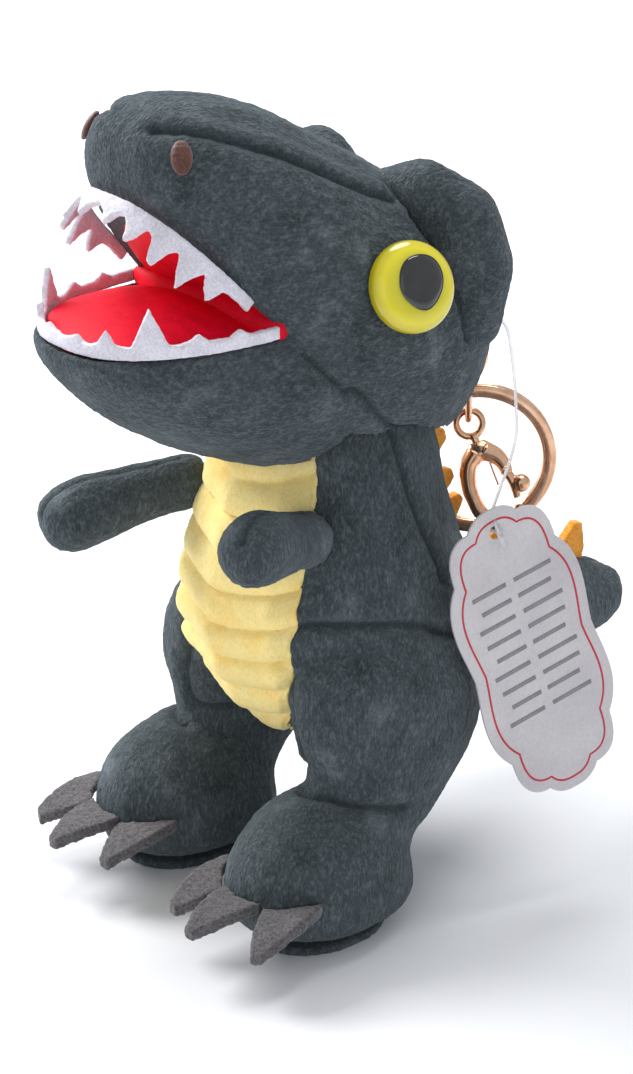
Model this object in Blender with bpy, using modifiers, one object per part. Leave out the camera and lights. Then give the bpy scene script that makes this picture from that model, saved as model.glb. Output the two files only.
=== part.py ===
"""Plush dinosaur keychain: a stuffed toy with a chain, a lobster clasp, a split ring and a hang tag.

The toy stands on Z = 0 and faces -Y; +X is its own left side. Sizes below are in millimetres.
"""

import math
from collections import namedtuple

import bmesh
import bpy
from mathutils import Matrix, Vector

MM = 0.001

# ---- driving dimensions, in millimetres ------------------------------------------------------
COVER = 1.3  # thickness of the plush fabric, pile included
GAP = 0.35  # clearance between neighbouring pieces
INSET = 2.3  # from the outside of a cover to the stuffing's own skin
LEG_INSET = 3.3  # more in the legs, which bend sharply at the ankle
SKULL_INSET = 2.6  # more in the skull, which is blunt at the snout
FELT = 2.4  # thickness of the claws and spikes
LINING = 1.3  # thickness of the mouth's lining and of the teeth
CENTRE_Y = -11.2  # moves the toy so that the middle of its footprint is the origin

SIDES = 10  # corners of a cover's section before it is subdivided
ARM_SIDES = 8
CORE_SIDES = 6

NECK_PIVOT = Vector((0, 3, 91))
NECK_BALL = 20.0
NECK_CLEARANCE = 1.6
SHOULDER = Vector((17.3, -17.2, 77.0))
SHOULDER_BALL = 5.7
ARM_DIRECTIONS = {  # the left arm is held up
    "left": Vector((0.42, -0.84, 0.34)),
    "right": Vector((-0.30, -0.94, -0.12)),
}

EYE_CENTRE = Vector((26.2, -1.5, 122.4))
EYE_NORMAL = Vector((0.91, -0.20, 0.36)).normalized()
EYE_RADIUS = 8.0
EYE_SHAFT = 1.8
PUPIL_RADIUS = 4.4
NOSTRIL = Vector((12.4, -38.8, 149.0))
BROW_TOP = Vector((13.5, 9.0, 133.5))
BROW_END = Vector((22.5, 20.0, 110.0))
BROW_RADIUS = 6.6
MOUTH_CORNER = (-22.5, 116.6)  # (y, z) where the two lips' planes meet
UPPER_LIP = math.radians(47.2)  # rise of the upper lip towards the snout

WIRE = 0.6  # radius of the chain's wire
LOOP_CENTRE = Vector((0, 36.0, 102.9))
UPPER_LINK_TOP = Vector((0, 37.5, 103.2))
UPPER_LINK = (6.0, 13.2)  # across and along, between the middles of the wire
LOWER_LINK = (5.4, 11.0)
LINK_STEP = 2 * WIRE + GAP  # between the middles of two wires that hang on each other
RING_CENTRE = Vector((1.2, 38.93, 72.6))
RING_RADII = (12.6, 15.2)
RING_THICKNESS = 2.0
FACING = Vector((0.766, -0.643, 0))  # the way the flat of the ring and of the upper link faces
CLASP_AXIS = Vector((0.51, 0.04, -0.93)).normalized()  # leans out and turns clear of the ring
CLASP_THICKNESS = 4.2
GATE_PIVOT = (3.4, 10.9)  # in the clasp's own plane

TAG_CENTRE = Vector((35.0, 22.3, 49.6))
TAG_FACING = Vector((0.968, -0.221, 0.12))
TAG_DOWN = Vector((0.175, 0.249, -0.953))
TAG_SIZE = (28.6, 59.4)
TAG_THICKNESS = 0.6
TAG_HOLE = 25.2  # from the tag's middle up to its hole
FILAMENT = 0.3
FILAMENT_ROUTE = [
    (11, 32.4, 106.0),
    (14.5, 33.0, 104.0),
    (18.5, 31.0, 98.5),
    (22, 28.6, 92.5),
    (26, 24.6, 86.5),
]

# A section of a soft form: its upper and lower edge as (y, z) on the form's own mid-plane.
Section = namedtuple("Section", "top bottom half_width x", defaults=(0,))

TORSO = [
    Section((10, 109.5), (-4, 109.5), 7),
    Section((18, 103.5), (-12, 103.5), 14.5),
    Section((22, 93), (-16, 93), 19),
    Section((23.5, 80), (-20, 79), 21.5),
    Section((26, 71.5), (-25.5, 64), 25.5),
    Section((29, 63.5), (-25.5, 47), 27.5),
    Section((33, 58.5), (-12, 29), 26),
    Section((38, 55), (13, 24.5), 20.5),
    Section((46, 51), (34, 25.5), 15.5),
    Section((56, 47.5), (50, 26), 11.5),
    Section((66, 44), (64, 25.5), 9),
    Section((74, 41), (73.5, 26), 7.2),
    Section((79.5, 37.5), (79.5, 29.5), 4),
]

LEG = [
    Section((12, 60), (-8, 62), 5, 17),
    Section((18, 54), (-15, 57), 10, 18),
    Section((22.5, 44), (-20.5, 48), 13, 19),
    Section((21.5, 33), (-20, 39), 12.5, 19.5),
    Section((14.5, 22.5), (-17, 32), 10.5, 20),
    Section((5, 14.5), (-15, 27), 9, 20),
    Section((2.5, 11.5), (-24, 28), 12, 20),
    Section((3.5, 8.5), (-33.5, 21.5), 14.2, 20),
    Section((4, 5), (-37, 12), 14.6, 20),
    Section((2, 2.9), (-34, 5), 13.5, 20),
    Section((-3, 2.3), (-29, 2.3), 9.5, 20),
]

SKULL = [
    Section((31.5, 118), (32, 101), 9),
    Section((27, 127), (28, 88), 18.5),
    Section((17, 133.5), (17, 79.5), 24.5),
    Section((6, 140), (5, 78), 26.5),
    Section((-5, 146.5), (-8, 82), 26),
    Section((-15, 152.5), (-16, 92), 24),
    Section((-25, 155.5), (-24, 101), 22),
    Section((-32.5, 157), (-32, 118), 19.5),
    Section((-39.5, 155.5), (-38.5, 130.5), 15),
    Section((-44.8, 150.5), (-44, 140.5), 8),
]

JAW = [
    Section((-2, 126), (0, 82), 21),
    Section((-14, 127), (-13, 84.5), 23.5),
    Section((-25, 128), (-25, 89), 23),
    Section((-36, 128), (-37, 95), 21),
    Section((-46, 126), (-46.5, 101.5), 17.5),
    Section((-53, 123), (-53.5, 108.5), 12),
    Section((-57, 119.5), (-57, 114), 5),
]

ARM = [  # along +Z of the arm's own frame, from the shoulder ball to the paw; x droops the paw
    Section((3.4, -4.3), (-3.4, -4.3), 3.4),
    Section((5.0, -2.2), (-5.0, -2.2), 5.0),
    Section((5.3, 0.5), (-5.3, 0.5), 5.3),
    Section((5.2, 6), (-5.2, 6), 5.2),
    Section((5.6, 12), (-5.8, 12), 5.6),
    Section((6.2, 18), (-7.2, 18), 6.6),
    Section((5.6, 24), (-7.8, 24), 6.4),
    Section((2.4, 28), (-5.2, 28), 4),
]

BELLY_OUTLINE = [(3.5, 32), (10.5, 40), (14.5, 50), (15.5, 62), (15, 75), (13, 86), (10, 98)]
SPIKES = [  # along the spine: root's middle (y, z), lean from upright in degrees, length
    (24.2, 77.5, 73, 8.5),
    (27.0, 68.8, 70, 8.5),
    (30.2, 61.9, 56, 7.0),
    (46.0, 51.0, 20, 8.5),
    (56.0, 47.5, 19, 8.5),
    (65.5, 44.2, 19, 7.0),
]
SPIKE_HEIGHT = 6.5
CLAWS = {  # across the foot, the root's y, turn outwards in degrees, length
    "inner": (-8.0, -30.0, 7, 12.5),
    "middle": (0.5, -33.5, -2, 13.5),
    "outer": (9.0, -29.0, -20, 13.0),
}
CLAW_WIDTH = 9.5
CLAW_HEIGHT = 12.5


# ---- the scene and its materials -------------------------------------------------------------
for old in list(bpy.data.objects):
    bpy.data.objects.remove(old)

toy = bpy.data.collections.new("plush_dinosaur_keychain")
helpers = bpy.data.collections.new("cutters")
for collection in (toy, helpers):
    bpy.context.scene.collection.children.link(collection)

frame = bpy.data.objects.new("toy_frame", None)
frame.location = (0, CENTRE_Y * MM, 0)
toy.objects.link(frame)
bpy.context.view_layer.update()


def material(name, colour, roughness, metallic=0.0):
    made = bpy.data.materials.new(name)
    made.use_nodes = True
    shader = made.node_tree.nodes["Principled BSDF"]
    shader.inputs["Base Color"].default_value = (*colour, 1)
    shader.inputs["Roughness"].default_value = roughness
    shader.inputs["Metallic"].default_value = metallic
    return made


GREY_PLUSH = material("grey_plush", (0.075, 0.10, 0.115), 0.95)
YELLOW_PLUSH = material("yellow_plush", (0.90, 0.66, 0.18), 0.95)
STUFFING = material("stuffing", (0.85, 0.85, 0.83), 1.0)
ORANGE_FELT = material("orange_felt", (0.95, 0.30, 0.02), 0.95)
GREY_FELT = material("grey_felt", (0.13, 0.12, 0.125), 0.98)
WHITE_FELT = material("white_felt", (0.86, 0.84, 0.88), 0.95)
RED_FELT = material("red_felt", (0.80, 0.01, 0.03), 0.9)
BROWN_THREAD = material("brown_thread", (0.10, 0.03, 0.02), 0.7)
YELLOW_PLASTIC = material("yellow_plastic", (0.75, 0.55, 0.01), 0.15)
BLACK_PLASTIC = material("black_plastic", (0.01, 0.01, 0.012), 0.12)
CLEAR_PLASTIC = material("clear_plastic", (0.85, 0.85, 0.88), 0.3)
ROSE_GOLD = material("rose_gold", (0.80, 0.42, 0.22), 0.2, 1.0)
CARD = material("card", (0.82, 0.79, 0.80), 0.5)


# ---- making and joining shapes ---------------------------------------------------------------
def place(obj, finish, smooth=True):
    """Puts a piece in the toy, in its material and its shading."""
    toy.objects.link(obj)
    obj.parent = frame
    obj.data.materials.append(finish)
    if obj.type == "MESH" and smooth:
        obj.data.shade_smooth()
        obj.data.set_sharp_from_angle(angle=math.radians(40))
    return obj


def helper(obj):
    """Puts a cutter where it isn't rendered."""
    helpers.objects.link(obj)
    obj.parent = frame
    obj.hide_render = True
    obj.display_type = "WIRE"
    return obj


def mesh_object(name, bm):
    bmesh.ops.recalc_face_normals(bm, faces=bm.faces)
    mesh = bpy.data.meshes.new(name)
    bm.to_mesh(mesh)
    bm.free()
    return bpy.data.objects.new(name, mesh)


def grow(sections, by):
    """The sections of the same form grown all round by a distance, or shrunk by a negative one."""
    grown = []
    for index, section in enumerate(sections):
        top, bottom = Vector(section.top), Vector(section.bottom)
        across = (top - bottom).normalized() * by
        along = Vector((0, 0))
        if index in (0, len(sections) - 1):
            inner = sections[1] if index == 0 else sections[-2]
            middle = (Vector(inner.top) + Vector(inner.bottom)) / 2
            along = ((top + bottom) / 2 - middle).normalized() * by
        edges = tuple(top + across + along), tuple(bottom - across + along)
        grown.append(Section(*edges, section.half_width + by, section.x))
    return grown


def loft(sections, sides, side=1, open_start=False):
    """A skin through the sections; side -1 makes the right-hand copy of a left-hand form."""
    bm = bmesh.new()
    fullness = 1 / math.cos(math.pi / sides)  # subdivision draws a polygon in by this much
    rings = []
    for section in sections:
        top, bottom = Vector(section.top), Vector(section.bottom)
        middle = (top + bottom) / 2
        half = (top - bottom).length / 2
        lean = math.atan2(top.y - bottom.y, top.x - bottom.x)
        shape = (
            Matrix.Translation((side * section.x, middle.x, middle.y))
            @ Matrix.Rotation(lean, 4, "X")
            @ Matrix.Diagonal((section.half_width * fullness, half * fullness, 1, 1))
        )
        made = bmesh.ops.create_circle(bm, segments=sides, radius=1, matrix=shape)
        rings.append(list({edge for vert in made["verts"] for edge in vert.link_edges}))
    for near, far in zip(rings, rings[1:]):
        bmesh.ops.bridge_loops(bm, edges=near + far)
    if not open_start:
        bmesh.ops.contextual_create(bm, geom=rings[0])
    bmesh.ops.contextual_create(bm, geom=rings[-1])
    bmesh.ops.scale(bm, vec=(MM, MM, MM), verts=bm.verts)
    return bm


def soften(obj):
    smooth = obj.modifiers.new("soften", "SUBSURF")
    smooth.levels = smooth.render_levels = 1
    return obj


def shell(obj, thickness=COVER):
    wall = obj.modifiers.new("wall", "SOLIDIFY")
    wall.thickness = thickness * MM
    wall.offset = -1
    return obj


def cut(obj, *tools, operation="DIFFERENCE"):
    for tool in tools:
        boolean = obj.modifiers.new("cut", "BOOLEAN")
        boolean.operation = operation
        boolean.object = tool
    return obj


def soft_form(name, sections, finish, side=1):
    """One stuffed form's fabric cover."""
    obj = soften(mesh_object(name, loft(sections, SIDES, side)))
    return place(shell(obj), finish)


def stuffed(name, sections, side=1, inset=INSET):
    """The stuffing inside a cover."""
    core = mesh_object(name, loft(grow(sections, -inset), CORE_SIDES, side))
    return place(soften(core), STUFFING)


def cutter_form(name, sections, side=1, by=GAP):
    return soften(helper(mesh_object(name, loft(grow(sections, by), SIDES, side))))


def turned_to(direction, across=Vector((0, 0, 1))):
    """A rotation that takes +Z to the direction, with +Y as near the second vector as it can be."""
    along = Vector(direction).normalized()
    third = across - along * across.dot(along)
    third.normalize()
    second = third.cross(along)
    return Matrix((second, third, along)).transposed().to_4x4()


def at(point, rotation=Matrix.Identity(4)):
    """The placing of a primitive: a point in millimetres and a rotation, as one matrix in metres."""
    return Matrix.Translation(Vector(point) * MM) @ rotation


def ball(name, radius, placing, squash=(1, 1, 1), segments=20):
    bm = bmesh.new()
    bmesh.ops.create_uvsphere(bm, u_segments=segments, v_segments=segments // 2, radius=radius * MM)
    bmesh.ops.scale(bm, vec=squash, verts=bm.verts)
    bmesh.ops.transform(bm, matrix=placing, verts=bm.verts)
    return mesh_object(name, bm)


def rod(name, radius, length, placing, segments=20):
    bm = bmesh.new()
    ends = radius * MM
    bmesh.ops.create_cone(
        bm, cap_ends=True, segments=segments, radius1=ends, radius2=ends, depth=length * MM
    )
    bmesh.ops.transform(bm, matrix=placing, verts=bm.verts)
    return mesh_object(name, bm)


def turned(name, profile, placing, segments=20, closed=False):
    """A turned shape from its (radius, height) profile, which closes on itself or ends on the axis."""
    bm = bmesh.new()
    points = [bm.verts.new((radius * MM, 0, height * MM)) for radius, height in profile]
    edges = [bm.edges.new(pair) for pair in zip(points, points[1:] + points[:1] * closed)]
    axis = {"cent": (0, 0, 0), "axis": (0, 0, 1)}
    bmesh.ops.spin(bm, geom=points + edges, angle=math.tau, steps=segments, use_merge=True, **axis)
    bmesh.ops.remove_doubles(bm, verts=bm.verts, dist=1e-6)
    bmesh.ops.transform(bm, matrix=placing, verts=bm.verts)
    return mesh_object(name, bm)


def mesh_from_curve(name, curve):
    """A curve's solid as a welded mesh, ready to be cut or placed."""
    source = bpy.data.objects.new(name + "_line", curve)
    bpy.context.scene.collection.objects.link(source)
    bpy.context.view_layer.update()
    graph = bpy.context.evaluated_depsgraph_get()
    mesh = bpy.data.meshes.new_from_object(source.evaluated_get(graph))
    bpy.data.objects.remove(source)
    mesh.materials.clear()
    bm = bmesh.new()
    bm.from_mesh(mesh)
    bmesh.ops.remove_doubles(bm, verts=bm.verts, dist=1e-6)
    return mesh_object(name, bm)


def wire(name, points, radius, closed=False, resolution=2, placing=None):
    """A round wire through the points, in millimetres."""
    curve = bpy.data.curves.new(name, "CURVE")
    curve.dimensions = "3D"
    curve.bevel_depth = radius * MM
    curve.bevel_resolution = resolution
    curve.use_fill_caps = True
    line = curve.splines.new("POLY")
    line.points.add(len(points) - 1)
    for slot, point in zip(line.points, points):
        slot.co = (*(Vector(point) * MM), 1)
    line.use_cyclic_u = closed
    obj = mesh_from_curve(name, curve)
    if placing is not None:
        obj.data.transform(placing)
    return obj


def plate(name, loops, thickness, placing):
    """A flat plate from closed outlines, the first outside and the others holes, in millimetres."""
    curve = bpy.data.curves.new(name, "CURVE")
    curve.dimensions = "2D"
    curve.fill_mode = "BOTH"
    curve.extrude = thickness * MM / 2
    for loop in loops:
        line = curve.splines.new("POLY")
        line.points.add(len(loop) - 1)
        for slot, (x, y) in zip(line.points, loop):
            slot.co = (x * MM, y * MM, 0, 1)
        line.use_cyclic_u = True
    obj = mesh_from_curve(name, curve)
    obj.data.transform(placing)
    return obj


def arc(centre, radius, start, end, steps):
    """Points along an arc, the angles in degrees."""
    return [
        (
            centre[0] + radius * math.cos(math.radians(start + (end - start) * step / steps)),
            centre[1] + radius * math.sin(math.radians(start + (end - start) * step / steps)),
        )
        for step in range(steps + 1)
    ]


SIDE_VIEW = Matrix(((0, 0, 1, 0), (1, 0, 0, 0), (0, 1, 0, 0), (0, 0, 0, 1)))  # x, y become Y, Z
ACROSS = Vector((0, 0, 1)).cross(FACING)
FLAT_ON = Matrix((ACROSS, (0, 0, 1), FACING)).transposed().to_4x4()  # x runs across, y up
EDGE_ON = Matrix((FACING, (0, 0, 1), -ACROSS)).transposed().to_4x4()


def pivot_empty(name, placing, parent=frame):
    empty = bpy.data.objects.new(name, None)
    empty.matrix_local = placing
    empty.parent = parent
    toy.objects.link(empty)
    bpy.context.view_layer.update()
    return empty


def hang(obj, pivot):
    """Gives a piece its joint's empty as its parent and leaves it where it is in the toy."""
    obj.parent = pivot
    obj.matrix_parent_inverse = pivot.matrix_local.inverted()
    return obj


# ---- the stuffed body ------------------------------------------------------------------------
torso_clearance = cutter_form("torso_clearance", TORSO)
shoulder_sockets = [
    helper(ball(f"{name}_socket", SHOULDER_BALL + GAP, at((side * SHOULDER.x, SHOULDER.y, SHOULDER.z))))
    for name, side in (("left_shoulder", 1), ("right_shoulder", -1))
]


def belly_cutter(name, by):
    """An upright prism in front of the spine, with the outline of the belly panel."""
    right = [(x + by, z) for x, z in BELLY_OUTLINE]
    outline = [(0, BELLY_OUTLINE[0][1] - 2 - by)] + right + [(-x, z) for x, z in reversed(right)]
    return helper(plate(name, [outline], 50, at((0, -29, 0), Matrix.Rotation(math.radians(90), 4, "X"))))


belly_shape = belly_cutter("belly_shape", 0)
belly_hole = belly_cutter("belly_hole", GAP)

torso_cover = soft_form("torso_cover", TORSO, GREY_PLUSH)
cut(torso_cover, belly_hole, *shoulder_sockets)
belly_panel = soft_form("belly_panel", TORSO, YELLOW_PLUSH)
cut(belly_panel, belly_shape, operation="INTERSECT")
cut(belly_panel, *shoulder_sockets)
cut(stuffed("torso_stuffing", TORSO), *shoulder_sockets)

for name, side in (("left", 1), ("right", -1)):
    cut(soft_form(f"{name}_leg_cover", LEG, GREY_PLUSH, side), torso_clearance)
    cut(stuffed(f"{name}_leg_stuffing", LEG, side, LEG_INSET), torso_clearance)


# ---- soles and felt claws --------------------------------------------------------------------
leg_clearance = {side: cutter_form(f"leg_clearance_{side}", LEG, side) for side in (1, -1)}
SOLE = (10.5, 13.5, 1.4)  # half width, half length, thickness


def ellipse(half_x, half_y, steps):
    angles = [math.tau * step / steps for step in range(steps)]
    return [(half_x * math.cos(angle), half_y * math.sin(angle)) for angle in angles]


def claw_outline(length, width):
    """A pointed leaf, its root at the origin and its tip down -Y."""
    left = [(-width * 0.5, 0), (-width * 0.47, -length * 0.35), (-width * 0.33, -length * 0.68)]
    left.append((-width * 0.12, -length * 0.95))
    root = [(width * 0.42, 4.0), (-width * 0.42, 4.0)]
    return root + left + [(-x, y) for x, y in reversed(left)]


for name, side in (("left", 1), ("right", -1)):
    foot = LEG[-1]
    middle = (foot.top[0] + foot.bottom[0]) / 2
    placing = at((side * foot.x, middle, SOLE[2] / 2))
    place(plate(f"{name}_sole", [ellipse(*SOLE[:2], 28)], SOLE[2], placing), GREY_PLUSH)
    for claw, (across, root_y, turn, length) in CLAWS.items():
        swing = Matrix.Rotation(math.radians(-side * turn), 4, "Z")
        placing = at((side * (foot.x + across), root_y, CLAW_HEIGHT), swing)
        piece = plate(f"{name}_claw_{claw}", [claw_outline(length, CLAW_WIDTH)], FELT, placing)
        place(cut(piece, leg_clearance[side]), GREY_FELT)


# ---- felt spikes down the spine --------------------------------------------------------------
for number, (y, z, lean, length) in enumerate(SPIKES, start=1):
    slope = [(length * 0.42, SPIKE_HEIGHT * 0.35), (length * 0.12, SPIKE_HEIGHT)]
    outline = [(-length / 2, -3), (length / 2, -3)] + slope
    outline += [(-x, height) for x, height in reversed(slope)]
    placing = at((0, y, z), Matrix.Rotation(math.radians(-lean), 4, "X") @ SIDE_VIEW)
    piece = plate(f"back_spike_{number}", [outline], FELT, placing)
    place(cut(piece, torso_clearance), ORANGE_FELT)


# ---- arms ------------------------------------------------------------------------------------
for name, side in (("left", 1), ("right", -1)):
    shoulder = Vector((side * SHOULDER.x, SHOULDER.y, SHOULDER.z))
    pivot = pivot_empty(f"{name}_shoulder", at(shoulder, turned_to(ARM_DIRECTIONS[name])))
    cover = mesh_object(f"{name}_arm_cover", loft(ARM, ARM_SIDES, open_start=True))
    place(shell(soften(cover)), GREY_PLUSH).parent = pivot
    stuffed(f"{name}_arm_stuffing", ARM).parent = pivot


# ---- the head, with its open mouth -----------------------------------------------------------
head_pivot = pivot_empty("neck", at(NECK_PIVOT))


def mouth_wedge(name, by):
    """The space between the lips, seen from the side, with its faces moved outwards by a distance."""
    y, z = MOUTH_CORNER
    reach = 90
    corner = (y + by / math.tan(UPPER_LIP / 2), z - by)
    far_top = (corner[0] - reach, corner[1] + reach * math.tan(UPPER_LIP))
    outline = [corner, (corner[0] - reach, corner[1]), far_top]
    return helper(plate(name, [outline], 80, at((0, 0, 0), SIDE_VIEW)))


neck_clearance = cutter_form("neck_clearance", TORSO[:6], by=NECK_CLEARANCE)
neck_socket = helper(ball("neck_socket", NECK_BALL + NECK_CLEARANCE, at(NECK_PIVOT), segments=32))
mouth = mouth_wedge("mouth", 0)
stuffing_mouth = mouth_wedge("stuffing_mouth", LINING + GAP)
jaw_outside = cutter_form("jaw_outside", JAW, by=0)
jaw_inside = soften(helper(mesh_object("jaw_inside", loft(grow(JAW, -INSET), CORE_SIDES))))
eye_placings = {
    side: at(
        (side * EYE_CENTRE.x, EYE_CENTRE.y, EYE_CENTRE.z),
        turned_to((side * EYE_NORMAL.x, EYE_NORMAL.y, EYE_NORMAL.z)),
    )
    for side in (1, -1)
}
shaft_holes = [
    helper(rod(f"shaft_hole_{side}", EYE_SHAFT + GAP, 16, placing))
    for side, placing in eye_placings.items()
]
eye_seats = [
    helper(rod(f"eye_seat_{side}", EYE_RADIUS + GAP, 10, placing @ at((0, 0, 5 - GAP))))
    for side, placing in eye_placings.items()
]
washer_pockets = [
    helper(rod(f"washer_pocket_{side}", 5.2, 9.6, placing @ at((0, 0, -4.4))))
    for side, placing in eye_placings.items()
]

head_cover = soften(mesh_object("head_cover", loft(SKULL, SIDES)))
cut(head_cover, jaw_outside, operation="UNION")
shell(head_cover)
cut(head_cover, mouth, neck_socket, neck_clearance, *shaft_holes, *eye_seats)
hang(place(head_cover, GREY_PLUSH), head_pivot)

head_stuffing = stuffed("head_stuffing", SKULL, inset=SKULL_INSET)
cut(head_stuffing, jaw_inside, operation="UNION")
cut(head_stuffing, stuffing_mouth, neck_socket, neck_clearance, *washer_pockets)
hang(head_stuffing, head_pivot)

lip_origin = Vector((0, *MOUTH_CORNER))
lean, rise = math.cos(UPPER_LIP), math.sin(UPPER_LIP)
along_lips = {  # from the corner of the mouth along each lip, and from the lip into the mouth
    "upper": (Vector((0, -lean, rise)), Vector((0, -rise, -lean))),
    "lower": (Vector((0, -1, 0)), Vector((0, 0, 1))),
}


def lip_slab(name, lip, start, thickness):
    """A flat slab behind a lip's plane, as wide as the head."""
    forward, into = along_lips[lip]
    section = [(start, 0), (60, 0), (60, thickness), (start, thickness)]
    corners = [lip_origin + forward * reach - into * depth for reach, depth in section]
    outline = [(point.y, point.z) for point in corners]
    return helper(plate(name, [outline], 70, at((0, 0, 0), SIDE_VIEW)))


for name, sections, lip, start in (
    ("palate_lining", SKULL, "upper", 2.5),
    ("tongue_lining", JAW, "lower", 1.0),
):
    lining = soften(mesh_object(name, loft(grow(sections, -SKULL_INSET), SIDES)))
    cut(lining, lip_slab(f"{name}_slab", lip, start, LINING), operation="INTERSECT")
    hang(place(lining, RED_FELT), head_pivot)


# ---- felt teeth ------------------------------------------------------------------------------
def tooth_strip(name, lip, span, teeth):
    """A strip of felt round a lip's edge; teeth are (share of the way round, length, half width)."""
    forward, into = along_lips[lip]
    half_width, start, length = span
    bm = bmesh.new()
    steps = 48
    verts = []
    for step in range(steps + 1):
        angle = math.pi * step / steps
        across = half_width * math.copysign(abs(math.cos(angle)) ** 0.8, math.cos(angle))
        point = lip_origin + into * GAP + forward * (start + length * math.sin(angle))
        verts.append(bm.verts.new((point + Vector((across, 0, 0))) * MM))
    edges = [bm.edges.new(pair) for pair in zip(verts, verts[1:])]
    extruded = bmesh.ops.extrude_edge_only(bm, edges=edges)["geom"]
    edge_line = [item for item in extruded if isinstance(item, bmesh.types.BMVert)]
    for vert, root in zip(sorted(edge_line, key=lambda v: verts_order(v, verts)), verts):
        share = 2 * abs(verts.index(root) / steps - 0.5)
        depth = max([2.2] + [tall * (1 - abs(share - middle) / half) for middle, tall, half in teeth])
        vert.co += into * depth * MM
    strip = mesh_object(name, bm)
    wall = strip.modifiers.new("felt", "SOLIDIFY")
    wall.thickness = LINING * MM
    wall.offset = 0
    return hang(place(strip, WHITE_FELT, smooth=False), head_pivot)


def verts_order(vert, verts):
    """The place along the line of the point that a copy still lies on."""
    return min(range(len(verts)), key=lambda index: (verts[index].co - vert.co).length)


UPPER_TEETH = [
    (0.08, 5.5, 0.09),
    (0.26, 7.0, 0.10),
    (0.44, 8.5, 0.10),
    (0.62, 8.0, 0.10),
    (0.78, 6.5, 0.09),
]
LOWER_TEETH = [
    (0.07, 4.0, 0.08),
    (0.25, 5.0, 0.09),
    (0.46, 9.0, 0.11),
    (0.66, 4.0, 0.10),
    (0.83, 3.5, 0.10),
]
tooth_strip("upper_teeth", "upper", (19.0, 9.0, 24.0), UPPER_TEETH)
tooth_strip("lower_teeth", "lower", (20.0, 2.5, 30.0), LOWER_TEETH)


# ---- brows, nostrils and eyes ----------------------------------------------------------------
head_clearance = cutter_form("head_clearance", SKULL)
for name, side in (("left", 1), ("right", -1)):
    ends = [Vector((side * end.x, end.y, end.z)) for end in (BROW_TOP, BROW_END)]
    along = ends[1] - ends[0]
    stretch = (1, 1, along.length / 2 / BROW_RADIUS)
    placing = at((ends[0] + ends[1]) / 2, turned_to(along))
    brow = ball(f"{name}_brow", BROW_RADIUS, placing, stretch)
    hang(place(cut(brow, head_clearance), GREY_PLUSH), head_pivot)
    facing = turned_to((side * 0.72, -0.50, 0.48))
    placing = at((side * NOSTRIL.x, NOSTRIL.y, NOSTRIL.z), facing)
    nostril = ball(f"{name}_nostril", 2.7, placing, (0.68, 1, 0.5), 16)
    hang(place(cut(nostril, head_clearance), BROWN_THREAD), head_pivot)

    placing = eye_placings[side]
    dome = [(0, -8.6), (EYE_SHAFT, -8.6), (EYE_SHAFT, 0), (EYE_RADIUS - 0.8, 0), (EYE_RADIUS, 0.7)]
    dome += [(EYE_RADIUS - 0.3, 1.5), (6.5, 2.4), (4.5, 3.2), (2.2, 3.7), (0, 3.8)]
    eye = turned(f"{name}_eye", dome, placing)
    middle = at((side * 0.5, 0.7, 3.8))
    pocket = helper(rod(f"{name}_pupil_pocket", PUPIL_RADIUS + GAP, 4.0, placing @ middle))
    hang(place(cut(eye, pocket), YELLOW_PLASTIC), head_pivot)
    pupil = [(0, -1.6), (PUPIL_RADIUS, -1.6), (PUPIL_RADIUS, -0.5), (3.4, 0), (1.8, 0.25), (0, 0.3)]
    hang(place(turned(f"{name}_pupil", pupil, placing @ middle), BLACK_PLASTIC), head_pivot)
    washer = [(EYE_SHAFT + GAP, -6.8), (4.6, -6.8), (4.6, -5.6), (EYE_SHAFT + GAP, -5.6)]
    hang(place(turned(f"{name}_eye_washer", washer, placing, closed=True), CLEAR_PLASTIC), head_pivot)


# ---- the ribbon loop, the chain and the ring -------------------------------------------------
def oblong(across, along, steps=8):
    """A link's middle line in its own plane, its long way along y."""
    half = across / 2
    straight = along / 2 - half
    return arc((0, straight), half, 0, 180, steps) + arc((0, -straight), half, 180, 360, steps)


ribbon_turn = Matrix.Rotation(math.radians(-90), 4, "Z")
ribbon_place = at(LOOP_CENTRE, SIDE_VIEW @ ribbon_turn)
ribbon = plate("ribbon_loop", [oblong(5.2, 10.4), oblong(4.0, 9.2)], 1.8, ribbon_place)
hang(place(cut(ribbon, head_clearance), GREY_PLUSH), head_pivot)

chain = {}
link_bottom = UPPER_LINK_TOP
parent_pivot = head_pivot
for name, (across, along), plane in (
    ("upper_link", UPPER_LINK, FLAT_ON),
    ("lower_link", LOWER_LINK, EDGE_ON),
):
    hook = link_bottom
    top = hook + Vector((0, 0, LINK_STEP)) if name == "lower_link" else hook
    middle = top - Vector((0, 0, along / 2))
    link_bottom = top - Vector((0, 0, along))
    chain[name] = pivot_empty(f"{name}_pivot", at(hook))
    line = [plane @ Vector((x, y, 0)) + middle for x, y in oblong(across, along)]
    hang(place(wire(name, line, WIRE, closed=True), ROSE_GOLD), chain[name])
hook = link_bottom

inner, outer = RING_RADII
half = RING_THICKNESS / 2
band = [(inner, 0.35 - half), (inner + 0.35, -half), (outer - 0.5, -half), (outer, 0.5 - half)]
band += [(radius, -height) for radius, height in reversed(band)]
ring_pivot = pivot_empty("ring_pivot", at(hook))
ring = turned("key_ring", band, at(RING_CENTRE, turned_to(FACING)), segments=40, closed=True)
hang(place(ring, ROSE_GOLD), ring_pivot)


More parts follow.
